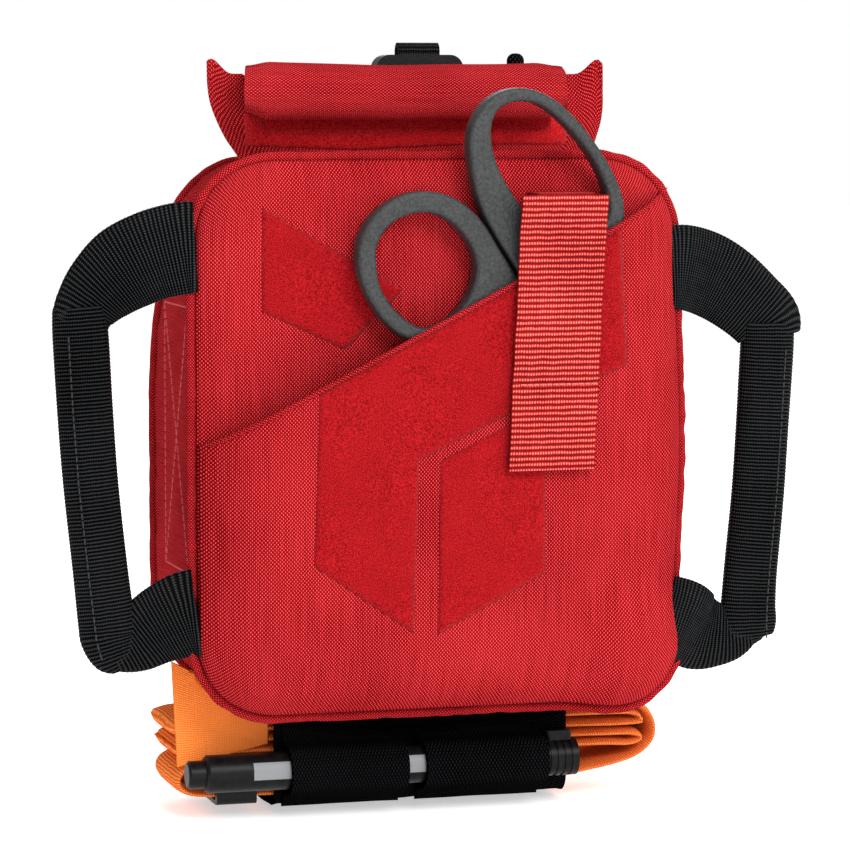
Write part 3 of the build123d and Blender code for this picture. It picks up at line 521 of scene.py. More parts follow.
# ---- Piping ---------------------------------------------------------------------
# A cord bound in a bias strip of nylon is sewn into both panel seams, all round.
# It is lumpy where the seam pulls it in.
def tube_round(half, radius, y, thickness, lump):
    """Wraps a grid as a tube round a rounded rectangle at depth y."""

    def place(u, v):
        (x, z), (nx, nz), run = ring_point(u, *half, radius)
        a = 2 * pi * v
        r = thickness * (1 + lump * ripple(run, 0, 0, 5))
        shift = 0.35 * ripple(run, 11, 0, 14)
        return settle(x + nx * (r * cos(a) + shift), y + r * sin(a), z + nz * (r * cos(a) + shift))

    return place


# The piping's bright thread colour is a painted highlight; red_shade is painted shade between its threads.
piping_red_highlight = (0.76, 0.070, 0.082)
piping_cloth = cloth(
    "piping_cloth", piping_red_highlight, red_shade, nylon_thread, nylon_thread, nylon_relief, waver=0.8, blotch=0.4
)
piping_half = (85.2, 94.7)
for name, y, lump in (("front", seam_front, 0.3), ("back", -4.5, 0.12)):
    finish_piece(
        f"piping_{name}_cord",
        grid_sheet(520, 12, (0.69, 0.011), tube_round(piping_half, 28.4, y, 1.6, lump)),
        "pouch",
        piping_cloth,
        (f"piping_{name}",),
    )

# ---- Slant pocket ---------------------------------------------------------------
# A second skin over the lower front, sewn into the same seam, holds the shears.
# Its mouth climbs to the right and is folded over once.
pocket_half = (83.8, 93.3)
pocket_radius = 27.0
mouth_angle = radians(27.2)
mouth_at = Vector((-81.7, 0, -0.4))


def pocket_surface(x, z):
    """Depth of the pocket's face."""
    edge = inside(x, z, *pocket_half, pocket_radius)
    below = -((x - mouth_at.x) * -sin(mouth_angle) + (z - mouth_at.z) * cos(mouth_angle))
    pucker = 0.6 * exp(-max(edge, 0) / 8) * ripple(x, 21, z, 6) * min(1, max(edge, 0) / 2)
    swell = 0.6 * ripple(x, 17, z, 40) + 0.15 * ripple(x, 5, z, 12)
    slack = 0.5 * exp(-max(below, 0) / 10) * ripple(x, 2, 0, 24)
    groove = -0.3 * exp(-((edge - 4.0) / 1.2) ** 2)
    uneven = (pucker + swell + slack) * min(1, max(edge, 0) / 10)
    return seam_front - 1.4 - 18.9 * rolled_rise(edge, 30) - uneven - groove


def pocket_place(u, v):
    x, z = round_corner(2 * u - 1, 2 * v - 1, *pocket_half, pocket_radius)
    return settle(x, pocket_surface(x, z), z)


pocket_bm = grid_sheet(150, 166, (0.17, 0.189), pocket_place)
bmesh.ops.bisect_plane(
    pocket_bm,
    geom=pocket_bm.verts[:] + pocket_bm.edges[:] + pocket_bm.faces[:],
    plane_co=mouth_at * 0.001,
    plane_no=(-sin(mouth_angle), 0, cos(mouth_angle)),
    clear_outer=True,
)
pocket = finish_piece(
    "pocket_cloth",
    pocket_bm,
    "pouch",
    red_nylon,
    ("pocket_panel",),
    thick=0.9,
    outward=(0, -1, 0),
)


def hem_place(u, v):
    x = -81.5 + u * 163.5
    z = mouth_at.z + (x - mouth_at.x) * tan(mouth_angle)
    edge = inside(x, z, *pocket_half, pocket_radius)
    a = 2 * pi * v
    r = 1.05 * (1 + 0.1 * ripple(x, 0, 0, 4)) * min(1.0, 0.25 + max(edge, 0) / 5)
    y = pocket_surface(x, z)
    return x, y + 0.35 - r * cos(a), z - 0.6 + r * sin(a)


hem_bm = grid_sheet(220, 12, (0.18, 0.007), hem_place)
finish_piece("pocket_hem", hem_bm, "pouch", piping_cloth)


# ---- Loop patches ---------------------------------------------------------------
# Fields of soft loop pile are sewn flat on the pocket and on the panel above it.
# The pile stands about a millimetre proud and its cut edges are soft.
def pile(name, colour, shade):
    """Matt loop pile: close curls of thread."""
    material = bpy.data.materials.new(name)
    material.use_nodes = True
    tree = material.node_tree
    shader = tree.nodes["Principled BSDF"]
    place = tree.nodes.new("ShaderNodeTexCoord")
    curl = tree.nodes.new("ShaderNodeTexNoise")
    curl.inputs["Scale"].default_value = 2300
    curl.inputs["Detail"].default_value = 3
    tree.links.new(place.outputs["Object"], curl.inputs["Vector"])
    cloud = tree.nodes.new("ShaderNodeTexNoise")
    cloud.inputs["Scale"].default_value = 120
    cloud.inputs["Detail"].default_value = 4
    tree.links.new(place.outputs["Object"], cloud.inputs["Vector"])
    broad = calc(tree, "MULTIPLY_ADD", cloud.outputs[0], 0.3, 0.3)
    lift = calc(tree, "MULTIPLY_ADD", calc(tree, "SUBTRACT", curl.outputs[0], 0.5), 3.4, broad)
    mix = tree.nodes.new("ShaderNodeMix")
    mix.data_type = "RGBA"
    mix.inputs[6].default_value = (*shade, 1)
    mix.inputs[7].default_value = (*colour, 1)
    tree.links.new(lift, mix.inputs[0])
    tree.links.new(mix.outputs[2], shader.inputs["Base Color"])
    bump = tree.nodes.new("ShaderNodeBump")
    bump.inputs["Distance"].default_value = 0.0006
    tree.links.new(curl.outputs[0], bump.inputs["Height"])
    tree.links.new(bump.outputs[0], shader.inputs["Normal"])
    shader.inputs["Roughness"].default_value = 1.0
    shader.inputs["Sheen Weight"].default_value = 0.05
    shader.inputs["Specular IOR Level"].default_value = 0.05
    return material


red_pile = pile("red_pile", (0.46, 0.0085, 0.0135), (0.17, 0.0003, 0.0014))


def edge_distance(x, z, outline):
    """Distance from a point to the nearest side of an outline."""
    best = 1e9
    for (ax, az), (bx, bz) in zip(outline, outline[1:] + outline[:1]):
        ex, ez = bx - ax, bz - az
        t = max(0, min(1, ((x - ax) * ex + (z - az) * ez) / (ex * ex + ez * ez)))
        best = min(best, hypot(x - ax - t * ex, z - az - t * ez))
    return best


def pile_patch(name, outline, surface, stand, replaced, parts=None, material=red_pile):
    """Loop field laid over surface(x, z); parts lists the outline's corners in convex pieces."""
    bm = bmesh.new()
    layer = bm.loops.layers.uv.new("cloth")
    corners = [bm.verts.new((x, 0, z)) for x, z in outline]
    for part_corners in parts or [range(len(outline))]:
        bm.faces.new([corners[index] for index in part_corners])
    bmesh.ops.triangulate(bm, faces=bm.faces)
    for _ in range(9):
        long_edges = [e for e in bm.edges if e.calc_length() > 2.4]
        if not long_edges:
            break
        bmesh.ops.subdivide_edges(bm, edges=long_edges, cuts=1)
        bmesh.ops.triangulate(bm, faces=bm.faces)
    for vert in bm.verts:
        x, z = vert.co.x, vert.co.z
        rim = edge_distance(x, z, outline)
        fuzz = 0.12 * ripple(x, 31, z, 2.2)
        vert.co.y = surface(x, z) - 0.12 - stand * min(1, rim / 1.3) ** 0.6 - fuzz * min(1, rim)
    for face in bm.faces:
        for loop in face.loops:
            loop[layer].uv = (loop.vert.co.x * 0.001, loop.vert.co.z * 0.001)
    bmesh.ops.scale(bm, vec=(0.001, 0.001, 0.001), verts=bm.verts)
    return finish_piece(name, bm, "pouch", material, replaced, thick=0.5, outward=(0, -1, 0))


upper_outline = [(-62.7, 77.8), (-14, 50), (-34.3, 30.2), (-62.8, 43.3)]
main_outline = [
    (-46.2, 16.2),
    (59.0, 70.2),
    (61.5, 24),
    (15.2, 6.5),
    (-12, -6.6),
    (-13.9, -64.6),
    (-48.3, -40.9),
]
lower_outline = [(-4.7, -6.8), (32, 11.1), (32.2, -45.8), (-5.5, -65.3)]
pile_patch("loop_field_upper", upper_outline, front_surface, 0.5, ("loop_patch_upper",))
pile_patch(
    "loop_field_main",
    main_outline,
    pocket_surface,
    0.55,
    ("loop_patch_main",),
    ((0, 1, 2, 3), (0, 3, 4), (0, 4, 5, 6)),
)
pile_patch("loop_field_lower", lower_outline, pocket_surface, 0.55, ("loop_patch_lower",))


# ---- Retention strap ------------------------------------------------------------
# Coral-red ribbed webbing is sewn inside the bow, passes over it and closes down the front.
# Each rib is a weft pick about 1.9 mm apart; a cross row of stitching holds the folded end.
def webbing(name, colour, shade, rib, rough=0.7, shine=0.1, body=(0.3, 0.3, 0.3), mapped=True):
    """Ribbed webbing: the ribs run across the strap, the UV's second value runs along it."""
    woven = {"ribs": True, "shine": shine, "body": body, "mapped": mapped}
    return cloth(name, colour, shade, 0.0009, rib / 1000, 0.0003, rough, 0.3, **woven)


def ribbed(u_mm, v_mm, pitch, depth):
    """Height of woven ribs, notched a little where the warp threads pass."""
    return depth * abs(sin(pi * v_mm / pitch)) * (0.85 + 0.15 * abs(sin(pi * u_mm / 1.0)))


# Coral webbing: a painted highlight on the rib tops and painted shade in the gaps between ribs.
coral_webbing = webbing(
    "coral_webbing", (0.84, 0.150, 0.125), (0.115, 0.0006, 0.001), 1.9, body=(0.38, 0.07, 0.07)
)
strap_lean = tan(radians(2.8))
strap_face = -105.0
strap_top = 81.8
strap_hang = 92.3
strap_width = 30.2
coral_rib = 1.9
fold_run = 63.4
root_x = 38.6


def strap_place(u, v):
    along = v * strap_hang
    z = strap_top - along
    wide = strap_width + 0.5 * ripple(0, along, 3, 9)
    x = 37.7 - strap_lean * along + (u - 0.5) * wide
    bulge = 0.8 * exp(-((along - 3) / 5) ** 2) - 0.5 * exp(-(((along - fold_run) / 1.2) ** 2))
    picks = ribbed((u - 0.5) * 29 + 40, along, coral_rib, 0.32)
    y = strap_face - 1.2 - bulge - 0.35 * ripple(x, 0, z, 30) - picks
    y += 0.25 * (abs(u - 0.5) * 2) ** 8
    return x, y, z


finish_piece(
    "retention_webbing",
    grid_sheet(52, 390, (0.029, 0.0923), strap_place),
    "retention_flap",
    coral_webbing,
    ("retention_strap",),
    thick=1.2,
    outward=(0, -1, 0),
)
coral_thread = thread("coral_thread", (0.82, 0.14, 0.12))
seam_x, seam_z = root_x - strap_lean * fold_run, strap_top - fold_run
stitch_piece(
    "retention_stitching",
    [((seam_x - 13.5, strap_face - 1.35, seam_z), (seam_x + 13.5, strap_face - 1.35, seam_z), (0, -1, 0))],
    "retention_flap",
    coral_thread,
    "red_webbing",
    pitch=2.2,
    radius=0.3,
    gap=0.15,
)


def base_place(u, v):
    run = v * 41.5
    x = root_x + (u - 0.5) * 20
    if run < 25:
        return x, -91.5 - ribbed(u * 20, run, coral_rib, 0.2), 55 + run
    reach = run - 25
    a = min(1.0, reach / 3)
    return x, -91.5 - reach * 0.78 * a, 80 + 1.2 * sin(a * pi / 2)


finish_piece(
    "retention_root_webbing",
    grid_sheet(24, 170, (0.02, 0.0415), base_place),
    "pouch",
    coral_webbing,
    ("retention_base",),
    thick=1.2,
    outward=(0, -1, 0.3),
)
hook_bm = bmesh.new()
bmesh.ops.create_grid(hook_bm, x_segments=24, y_segments=28, size=1)
for vert in hook_bm.verts:
    z = 24.0 + vert.co.y * 14.5
    vert.co = Vector((root_x - strap_lean * (strap_top - z) + vert.co.x * 12.5, -104.6, z)) * 0.001
finish_piece(
    "retention_hook_field",
    hook_bm,
    "retention_flap",
    red_pile,
    ("retention_hook_tape",),
    thick=0.5,
)

# ---- Neck and ears --------------------------------------------------------------
# The pouch opens through a flat nylon neck that widens upwards. Its two side seams end in
# pointed ears, left standing when the top edge is rolled forward.
neck_mid = -42.0
neck_foot = 86.5


def smooth_path(points, t, closed=False):
    """Catmull-Rom point at t from 0 to 1 through rows of numbers."""
    count = len(points)
    spans = count if closed else count - 1
    place = (t % 1.0 if closed else min(max(t, 0), 0.999999)) * spans
    k, f = int(place), place - int(place)

    def row(index):
        return points[index % count] if closed else points[min(max(index, 0), count - 1)]

    p0, p1, p2, p3 = row(k - 1), row(k), row(k + 1), row(k + 2)
    return [
        0.5 * (2 * b + (c - a) * f + (2 * a - 5 * b + 4 * c - d) * f * f + (3 * b - a - 3 * c + d) * f**3)
        for a, b, c, d in zip(p0, p1, p2, p3)
    ]


def neck_top_at(x):
    """Height of the neck's upper edge, which climbs to a point at each side."""
    rise = 6.2 * smooth_step(54.5, 58, abs(x)) + 5.0 * smooth_step(61, 69.6, abs(x)) ** 1.5
    return 116.0 + rise - 1.6 * smooth_step(69.8, 72, abs(x))


def flat_ring(u):
    """Across from -1 to 1 and depth from -1 to 1, going once round a flattened ring."""
    share = -cos(2 * pi * u)
    return share, (1 - share**4) ** 0.6 * (1 if u < 0.5 else -1)


def flat_spread(u):
    """Share of a flattened ring's length that lies before u."""
    turned = (1 - cos(2 * pi * u)) / 4
    return turned if u < 0.5 else 1 - turned


neck_sides = [(-56.5, 63.0), (-59.5, 68.0), (-64.5, 70.8), (-68.8, 72.4), (-70.6, 72.0), (-71.0, 71.6)]


def neck_depth(share, v):
    """Half the neck's depth, which closes towards its sides and its top."""
    side = smooth_step(0.80, 1.0, abs(share))
    return 8.0 * (1 - 0.86 * smooth_step(0.45, 1.0, v)) * (1 - 0.5 * side) + 0.4


def neck_place(u, v):
    left, right = smooth_path(neck_sides, v)
    share, face = flat_ring(u)
    x = (left + right) / 2 + share * (right - left) / 2
    z = neck_foot + v * (neck_top_at(x) - neck_foot)
    side = smooth_step(0.80, 1.0, abs(share))
    y = neck_mid + neck_depth(share, v) * face
    y += 1.5 * ripple(x, z, 5, 16) * side * smooth_step(0.2, 0.6, v)
    y += 0.7 * ripple(x, 4, z, 18) * smooth_step(0.1, 0.4, v) * (1 if abs(x) > 50 else 0.4)
    return x, y - 3.2 * smooth_step(0.55, 1.0, v) * side, z


def neck_front(x, z):
    """Depth of the neck's front."""
    v = (z - neck_foot) / (neck_top_at(x) - neck_foot)
    left, right = smooth_path(neck_sides, v)
    share = max(-1.0, min(1.0, (x - (left + right) / 2) / ((right - left) / 2)))
    return neck_mid - neck_depth(share, v) * (1 - share**4) ** 0.6 + 0.3 * ripple(x, 4, z, 18)


neck = finish_piece(
    "neck_and_ears",
    grid_sheet(300, 60, (0.27, 0.036), neck_place, flat_spread),
    None,
    red_nylon,
    ("neck_sleeve", "roll_ear_left", "roll_ear_right"),
    thick=0.7,
)
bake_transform(neck)

# The neck's loop tape gets its own lighter copy of the red pile, painted light against the shadow of the roll
# above it.
pile_patch(
    "neck_loop_field",
    [(-57.5, 97.6), (-58.5, 108.5), (57, 108.5), (57, 97.6), (20, 97.8), (-20, 96.0)],
    neck_front,
    0.8,
    ("neck_loop_tape",),
    ((0, 1, 5), (1, 2, 4, 5), (2, 3, 4)),
    pile("neck_pile_lit", (0.66, 0.020, 0.026), (0.28, 0.0010, 0.0025)),
)


# ---- Rolled top -----------------------------------------------------------------
# The top edge is stiffened, rolled forward over the neck and pressed down on its loop tape.
# The roll is a firm flat tube of nylon; its ends are folded corners.
roll_section = [
    (-66.0, 109.5),
    (-66.9, 114.0),
    (-66.2, 120.5),
    (-62.5, 125.0),
    (-55.0, 126.3),
    (-45.0, 126.2),
    (-36.0, 125.0),
    (-32.0, 121.5),
    (-32.4, 118.0),
    (-38.0, 117.0),
    (-46.0, 116.8),
    (-51.4, 115.6),
    (-52.6, 111.5),
    (-54.2, 108.2),
    (-58.0, 106.4),
    (-62.8, 106.8),
]
roll_left, roll_right = -62.8, 52.0


def roll_place(u, v):
    y, z = smooth_path(roll_section, u, closed=True)
    cap = 0.045
    if v < cap:
        x, grow = roll_left, sin(pi / 2 * v / cap)
    elif v > 1 - cap:
        x, grow = roll_right, sin(pi / 2 * (1 - v) / cap)
    else:
        x, grow = roll_left + (v - cap) / (1 - 2 * cap) * (roll_right - roll_left), 1.0
    share = (x - roll_left) / (roll_right - roll_left)
    end = min(x - roll_left, roll_right - x)
    tuck = 1 - smooth_step(0, 9, end)
    z += 2.6 * tuck * (1 - smooth_step(106, 114, z)) - 1.4 * tuck * smooth_step(118, 126, z)
    y += 1.6 * tuck * (1 if y < -60 else 0)
    z -= 1.2 * sin(pi * share) * smooth_step(112, 126, z)
    y += 0.35 * ripple(x, 0, z, 22)
    z += 0.35 * ripple(x, 8, 0, 26)
    x += (y + 66) * 0.28 * (1 - share)
    if grow < 1:
        y = -58 + (y + 58) * grow
        z = 116 + (z - 116) * grow
        x += (1.0 - grow) * (1.8 if v < cap else -1.8) + (0.8 * ripple(y, z, v, 6) if grow < 0.95 else 0)
    return x, y, z


finish_piece(
    "rolled_top",
    grid_sheet(110, 150, (0.118, 0.118), roll_place),
    "roll_top",
    red_nylon,
    ("roll_fold", "roll_stiffener"),
)
hook_strip = bmesh.new()
bmesh.ops.create_grid(hook_strip, x_segments=90, y_segments=8, size=1)
for vert in hook_strip.verts:
    vert.co = Vector((-1.2 + vert.co.x * 51, -51.9 + 0.2 * vert.co.y, 108.4 + vert.co.y * 5)) * 0.001
finish_piece(
    "roll_hook_field",
    hook_strip,
    "roll_top",
    red_pile,
    ("roll_hook_tape",),
    thick=0.4,
    outward=(0, 1, 0),
)

# ---- Side handles ---------------------------------------------------------------
# Black 30 mm webbing is sewn into the front seams, turns down and is folded lengthwise round
# a core to make each grip. Its ribs stay square to the run, so they fan round the corners.
# Each arm is sewn to the pouch at its root.
# Black webbing has almost no gloss: its rib highlights are painted into the colour, over near-black painted
# shade between the ribs.
webbing_black = ((0.030, 0.032, 0.034), (0.0002, 0.0002, 0.0003), 1.25, 0.5, 0.03, (0.12, 0.12, 0.12))
black_webbing = webbing("black_webbing", *webbing_black)
handle_depth = -78.0


def strap_tube(
    name,
    route,
    body,
    columns,
    rows,
    ribs=0.3,
    rib_pitch=1.25,
    replaced=(),
    flat=False,
    material=black_webbing,
    lap=0,
):
    """Webbing along route, rows of (x, y, z, width, thickness); flat lays its width front to back.

    lap is the side, 1 or -1, on which its folded edge lies a layer lower.
    """
    steps = 240
    runs, length = [0.0], 0.0
    spots = [Vector(smooth_path(route, i / steps)[:3]) for i in range(steps + 1)]
    for a, b in zip(spots, spots[1:]):
        length += (b - a).length
        runs.append(length)

    def at(run):
        low, high = 0, steps
        while high - low > 1:
            middle = (low + high) // 2
            if runs[middle] <= run:
                low = middle
            else:
                high = middle
        return (low + (run - runs[low]) / max(runs[high] - runs[low], 1e-6)) / steps

    def place(u, v):
        t = at(v * length)
        x, y, z, wide, thick = smooth_path(route, t)
        before, after = (smooth_path(route, min(1, max(0, t + step)))[:3] for step in (-0.004, 0.004))
        ahead = (Vector(after) - Vector(before)).normalized()
        side = Vector((0, 1, 0)) if flat else Vector((0, 1, 0)).cross(ahead).normalized()
        out = ahead.cross(side)
        share, face = flat_ring(u)
        across, deep = wide / 2 * share, thick / 2 * face
        end = min(v, 1 - v) * length
        if end < 0.001:
            across, deep = across * 0.02, deep * 0.02
        rib = ribbed(across + 60, v * length, rib_pitch, ribs) if end > 1 else 0
        wave = 0.5 * ripple(x, y, z, 14) * min(1, thick / 6)
        deep += (rib + wave) * face
        if lap and share * lap > 0.5:
            deep -= 0.9 * smooth_step(0.50, 0.56, share * lap) * face
        return Vector((x, y, z)) + side * (across + rib * 0.5 * share) + out * deep

    return finish_piece(
        name,
        grid_sheet(columns, rows, (0.06, length * 0.001), place, flat_spread),
        body,
        material,
        replaced,
    )


arm_root_depth = -84.2
left_upper = [
    (-84.0, arm_root_depth - 0.6, 64.8, 30.0, 2.6),
    (-89, arm_root_depth + 0.6, 64.4, 30.5, 2.8),
    (-98, handle_depth - 2.5, 62.0, 30.0, 3.0),
    (-107, handle_depth, 57.5, 29.0, 3.2),
    (-115, handle_depth, 51.0, 25.0, 4.0),
    (-120.0, handle_depth, 44.5, 21, 6.5),
    (-122.0, handle_depth, 39.0, 18.6, 8.5),
]
left_grip = [
    (-122.2, handle_depth, 45.5, 17.4, 8.4),
    (-121.6, handle_depth, 36.0, 18.6, 10.0),
    (-120.2, handle_depth, 10.0, 18.6, 10.0),
    (-118.5, handle_depth, -14.0, 18.4, 10.0),
    (-115.6, handle_depth, -42.0, 18.4, 10.0),
    (-113.6, handle_depth, -60.0, 19.0, 9.4),
    (-112.9, handle_depth, -66.0, 18.4, 8.2),
    (-111.0, handle_depth, -72.5, 14.0, 6.4),
    (-109.0, handle_depth, -76.5, 5.0, 4.0),
]
left_lower = [
    (-84.0, arm_root_depth - 0.6, -57.3, 30, 2.6),
    (-89, arm_root_depth + 0.6, -58.3, 29, 2.8),
    (-97, handle_depth - 2.0, -62.5, 26, 3.4),
    (-104, handle_depth - 0.6, -67.5, 21, 4.6),
    (-110, handle_depth - 0.3, -71.0, 14, 5.4),
    (-114.5, handle_depth, -73.0, 5, 4.0),
]
right_upper = [
    (80.0, arm_root_depth - 5.2, 56.0, 28.5, 2.4),
    (87, arm_root_depth - 2.6, 56.0, 29.0, 2.6),
    (97, handle_depth - 2.5, 53.5, 29.0, 3.0),
    (106, handle_depth, 49.0, 28.0, 3.2),
    (115, handle_depth, 42.0, 26.0, 3.8),
    (121, handle_depth, 36.0, 25.0, 5.0),
    (122.6, handle_depth, 30.5, 21.0, 7.5),
]
right_grip = [
    (121.2, handle_depth, 36.0, 19.0, 8.0),
    (121.0, handle_depth, 27.0, 19.4, 10.0),
    (119.6, handle_depth, 2.0, 19.2, 10.0),
    (118.0, handle_depth, -24.0, 19.2, 10.0),
    (115.6, handle_depth, -50.0, 19.4, 10.0),
    (114.8, handle_depth, -62.0, 20.0, 9.4),
    (114.6, handle_depth, -69.0, 21.0, 8.0),
    (114.8, handle_depth, -74.5, 18.0, 5.0),
    (115.5, handle_depth, -77.0, 9.0, 3.6),
]
right_lower = [
    (79.0, arm_root_depth - 6.0, -64.0, 29, 2.4),
    (87, arm_root_depth - 3.4, -66.6, 29, 2.6),
    (96, handle_depth - 2.0, -71.5, 27, 3.4),
    (104, handle_depth - 0.6, -73.0, 22, 4.6),
    (112, handle_depth - 0.3, -72.5, 16, 5.2),
    (118, handle_depth, -71.5, 6, 4.0),
]
for side, upper, grip, lower in (
    ("left", left_upper, left_grip, left_lower),
    ("right", right_upper, right_grip, right_lower),
):
    body = f"handle_{side}"
    held = strap_tube(
        f"handle_grip_{side}",
        grip,
        body,
        44,
        860,
        ribs=0.35,
        replaced=(f"handle_strap_{side}", f"handle_core_{side}"),
        lap=1 if side == "left" else -1,
    )
    for end, arm, rows in (("upper", upper, 420), ("lower", lower, 300)):
        webbing_arm = strap_tube(f"handle_{end}_{side}", arm, None, 44, rows)
        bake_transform(webbing_arm)

black_thread = thread("black_thread", (0.012, 0.013, 0.014))
for side, turn_sign, grip in (("left", -1, left_grip), ("right", 1, right_grip)):
    rows = [
        ((a[0] + turn_sign * 5.0, a[1] - 5.15, a[2]), (b[0] + turn_sign * 5.0, b[1] - 5.15, b[2]), (0, -1, 0))
        for a, b in zip(grip[1:-1], grip[2:-1])
    ]
    stitch_piece(f"handle_stitching_{side}", rows, f"handle_{side}", black_thread, "black_webbing", pitch=2.6)

# ---- Tourniquet holder ----------------------------------------------------------
# A sleeve of wide black elastic is sewn under the pouch and open at both ends.
# Two elastic loops sewn on its front carry the marker.
# The elastic's ribs carry a painted highlight on their tops and painted shade between them.
black_elastic = cloth(
    "black_elastic", (0.014, 0.0145, 0.0155), (0.0008, 0.0008, 0.001), 0.0006, 0.0011, 0.0002, 0.85, 0.2,
    body=(0.3, 0.3, 0.3),
)
sleeve_low, sleeve_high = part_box("holder_sleeve")
sleeve_centre = (
    (sleeve_low[1] + sleeve_high[1]) * 500,
    (sleeve_low[2] + sleeve_high[2]) * 500 + 0.9,
)
sleeve_half_size = ((sleeve_high[1] - sleeve_low[1]) * 500, (sleeve_high[2] - sleeve_low[2]) * 500 - 0.9)


def sleeve_place(u, v):
    (y, z), (ny, nz), run = ring_point(u, *sleeve_half_size, 6.0)
    x = -52.4 + v * 104.8
    fine = 0.14 * abs(sin(pi * run / 1.15))
    give = 0.7 * ripple(x, run, 0, 16) * (1 if z < 10 else 0.1)
    rim = 0.8 * exp(-min(v, 1 - v) * 105 / 1.6)
    push = fine + give + rim
    return x, sleeve_centre[0] + y + ny * push, sleeve_centre[1] + z + nz * push


finish_piece(
    "holder_sleeve_elastic",
    grid_sheet(560, 60, (0.157, 0.105), sleeve_place),
    "pouch",
    black_elastic,
    ("holder_sleeve", "holder_binding"),
    thick=1.2,
)

loop_section = [
    (-63.9, -100.5),
    (-64.4, -103.6),
    (-66.6, -106.0),
    (-71.0, -106.6),
    (-75.6, -107.9),
    (-78.7, -111.0),
    (-79.5, -114.5),
    (-78.8, -118.2),
    (-75.8, -121.4),
    (-71.0, -122.9),
    (-66.8, -123.8),
    (-64.4, -125.6),
    (-63.9, -128.0),
]
for side, start_x, end_x in (("left", -50.0, -8.9), ("right", -2.5, 41.4)):

    def loop_place(u, v):
        y, z = smooth_path(loop_section, v)
        before, after = (smooth_path(loop_section, min(1, max(0, v + step))) for step in (-0.01, 0.01))
        ahead = Vector(after) - Vector(before)
        out = Vector((ahead.y, -ahead.x)).normalized()
        fine = 0.16 * abs(sin(pi * v * 42 / 1.15)) + 0.9 * exp(-min(u, 1 - u) * 42 / 0.7) * 0.4
        give = 0.5 * ripple(u * 42, v * 42, start_x, 12)
        return start_x + u * (end_x - start_x), y + out.x * (fine + give), z + out.y * (fine + give)

    finish_piece(
        f"pen_loop_elastic_{side}",
        grid_sheet(60, 300, (0.042, 0.046), loop_place),
        "pouch",
        black_elastic,
        (f"pen_loop_{side}",),
        thick=1.0,
        outward=(0, -1, 0),
    )

binding_lines = [
    [
        (-53, -64.6, -94.5),
        (-40, -64.6, -98.5),
        (-20, -64.8, -100.6),
        (2, -64.9, -100.8),
        (24, -64.8, -99.4),
        (46, -64.6, -97.0),
        (53, -64.6, -95.2),
    ],
    [
        (-52, -65.0, -97.8),
        (-38, -65.2, -101.4),
        (-20, -65.2, -103.4),
        (0, -65.2, -103.6),
        (22, -65.2, -102.2),
        (44, -65.0, -100.0),
        (52.5, -64.9, -98.0),
    ],
]
for number, line in enumerate(binding_lines):
    strap_tube(
        f"holder_seam_{number + 1}",
        [(x, y, z, 2.6, 2.0) for x, y, z in line],
        "pouch",
        16,
        320,
        0.25,
        1.3,
        material=black_elastic,
    )

# ---- Marker ---------------------------------------------------------------------
# A black gloss marker with a light label, a plugged end and a ridged cap with a clip.
def moulded(name, colour, rough, grain, size=900, metal=0.0, shine=0.3, wear=0.12):
    """Plastic or metal with a fine surface grain and slight rubbing; size is the grain's fineness."""
    material = bpy.data.materials.new(name)
    material.use_nodes = True
    tree = material.node_tree
    shader = tree.nodes["Principled BSDF"]
    place = tree.nodes.new("ShaderNodeTexCoord")
    fine = tree.nodes.new("ShaderNodeTexNoise")
    fine.inputs["Scale"].default_value = size
    fine.inputs["Detail"].default_value = 2
    tree.links.new(place.outputs["Object"], fine.inputs["Vector"])
    broad = tree.nodes.new("ShaderNodeTexNoise")
    broad.inputs["Scale"].default_value = 60
    broad.inputs["Detail"].default_value = 5
    tree.links.new(place.outputs["Object"], broad.inputs["Vector"])
    mix = tree.nodes.new("ShaderNodeMix")
    mix.data_type = "RGBA"
    mix.inputs[6].default_value = (*[c * (1 - wear) for c in colour], 1)
    mix.inputs[7].default_value = (*[min(1, c * (1 + wear) + 0.004) for c in colour], 1)
    speckle = calc(tree, "MULTIPLY_ADD", calc(tree, "SUBTRACT", fine.outputs[0], 0.5), 2.5, broad.outputs[0])
    tree.links.new(speckle, mix.inputs[0])
    tree.links.new(mix.outputs[2], shader.inputs["Base Color"])
    rubbed = calc(tree, "MULTIPLY_ADD", broad.outputs[0], 0.16, rough - 0.08)
    tree.links.new(rubbed, shader.inputs["Roughness"])
    bump = tree.nodes.new("ShaderNodeBump")
    bump.inputs["Distance"].default_value = grain
    tree.links.new(fine.outputs[0], bump.inputs["Height"])
    tree.links.new(bump.outputs[0], shader.inputs["Normal"])
    shader.inputs["Metallic"].default_value = metal
    shader.inputs["Specular IOR Level"].default_value = shine
    return material


def finish_nodes(material, *names):
    """Gives CAD pieces their material."""
    for name in names:
        node = nodes[name]
        node.data.materials.clear()
        node.data.materials.append(material)


marker_gloss = moulded("marker_gloss", (0.0025, 0.0025, 0.003), 0.36, 0.00002, 500, shine=0.12)
finish_nodes(marker_gloss, "marker_end_plug", "marker_cap", "marker_clip")
marker_body = moulded("marker_body", (0.0025, 0.0025, 0.003), 0.36, 0.00002, 500, shine=0.12)
body_tree = marker_body.node_tree
body_place = body_tree.nodes.new("ShaderNodeTexCoord")
body_part = body_tree.nodes.new("ShaderNodeSeparateXYZ")
body_tree.links.new(body_place.outputs["Object"], body_part.inputs[0])


def label_band(axis, low, high):
    """1 between two places along an axis, in metres, else 0."""
    above = calc(body_tree, "GREATER_THAN", body_part.outputs[axis], low)
    return calc(body_tree, "MULTIPLY", above, calc(body_tree, "LESS_THAN", body_part.outputs[axis], high))


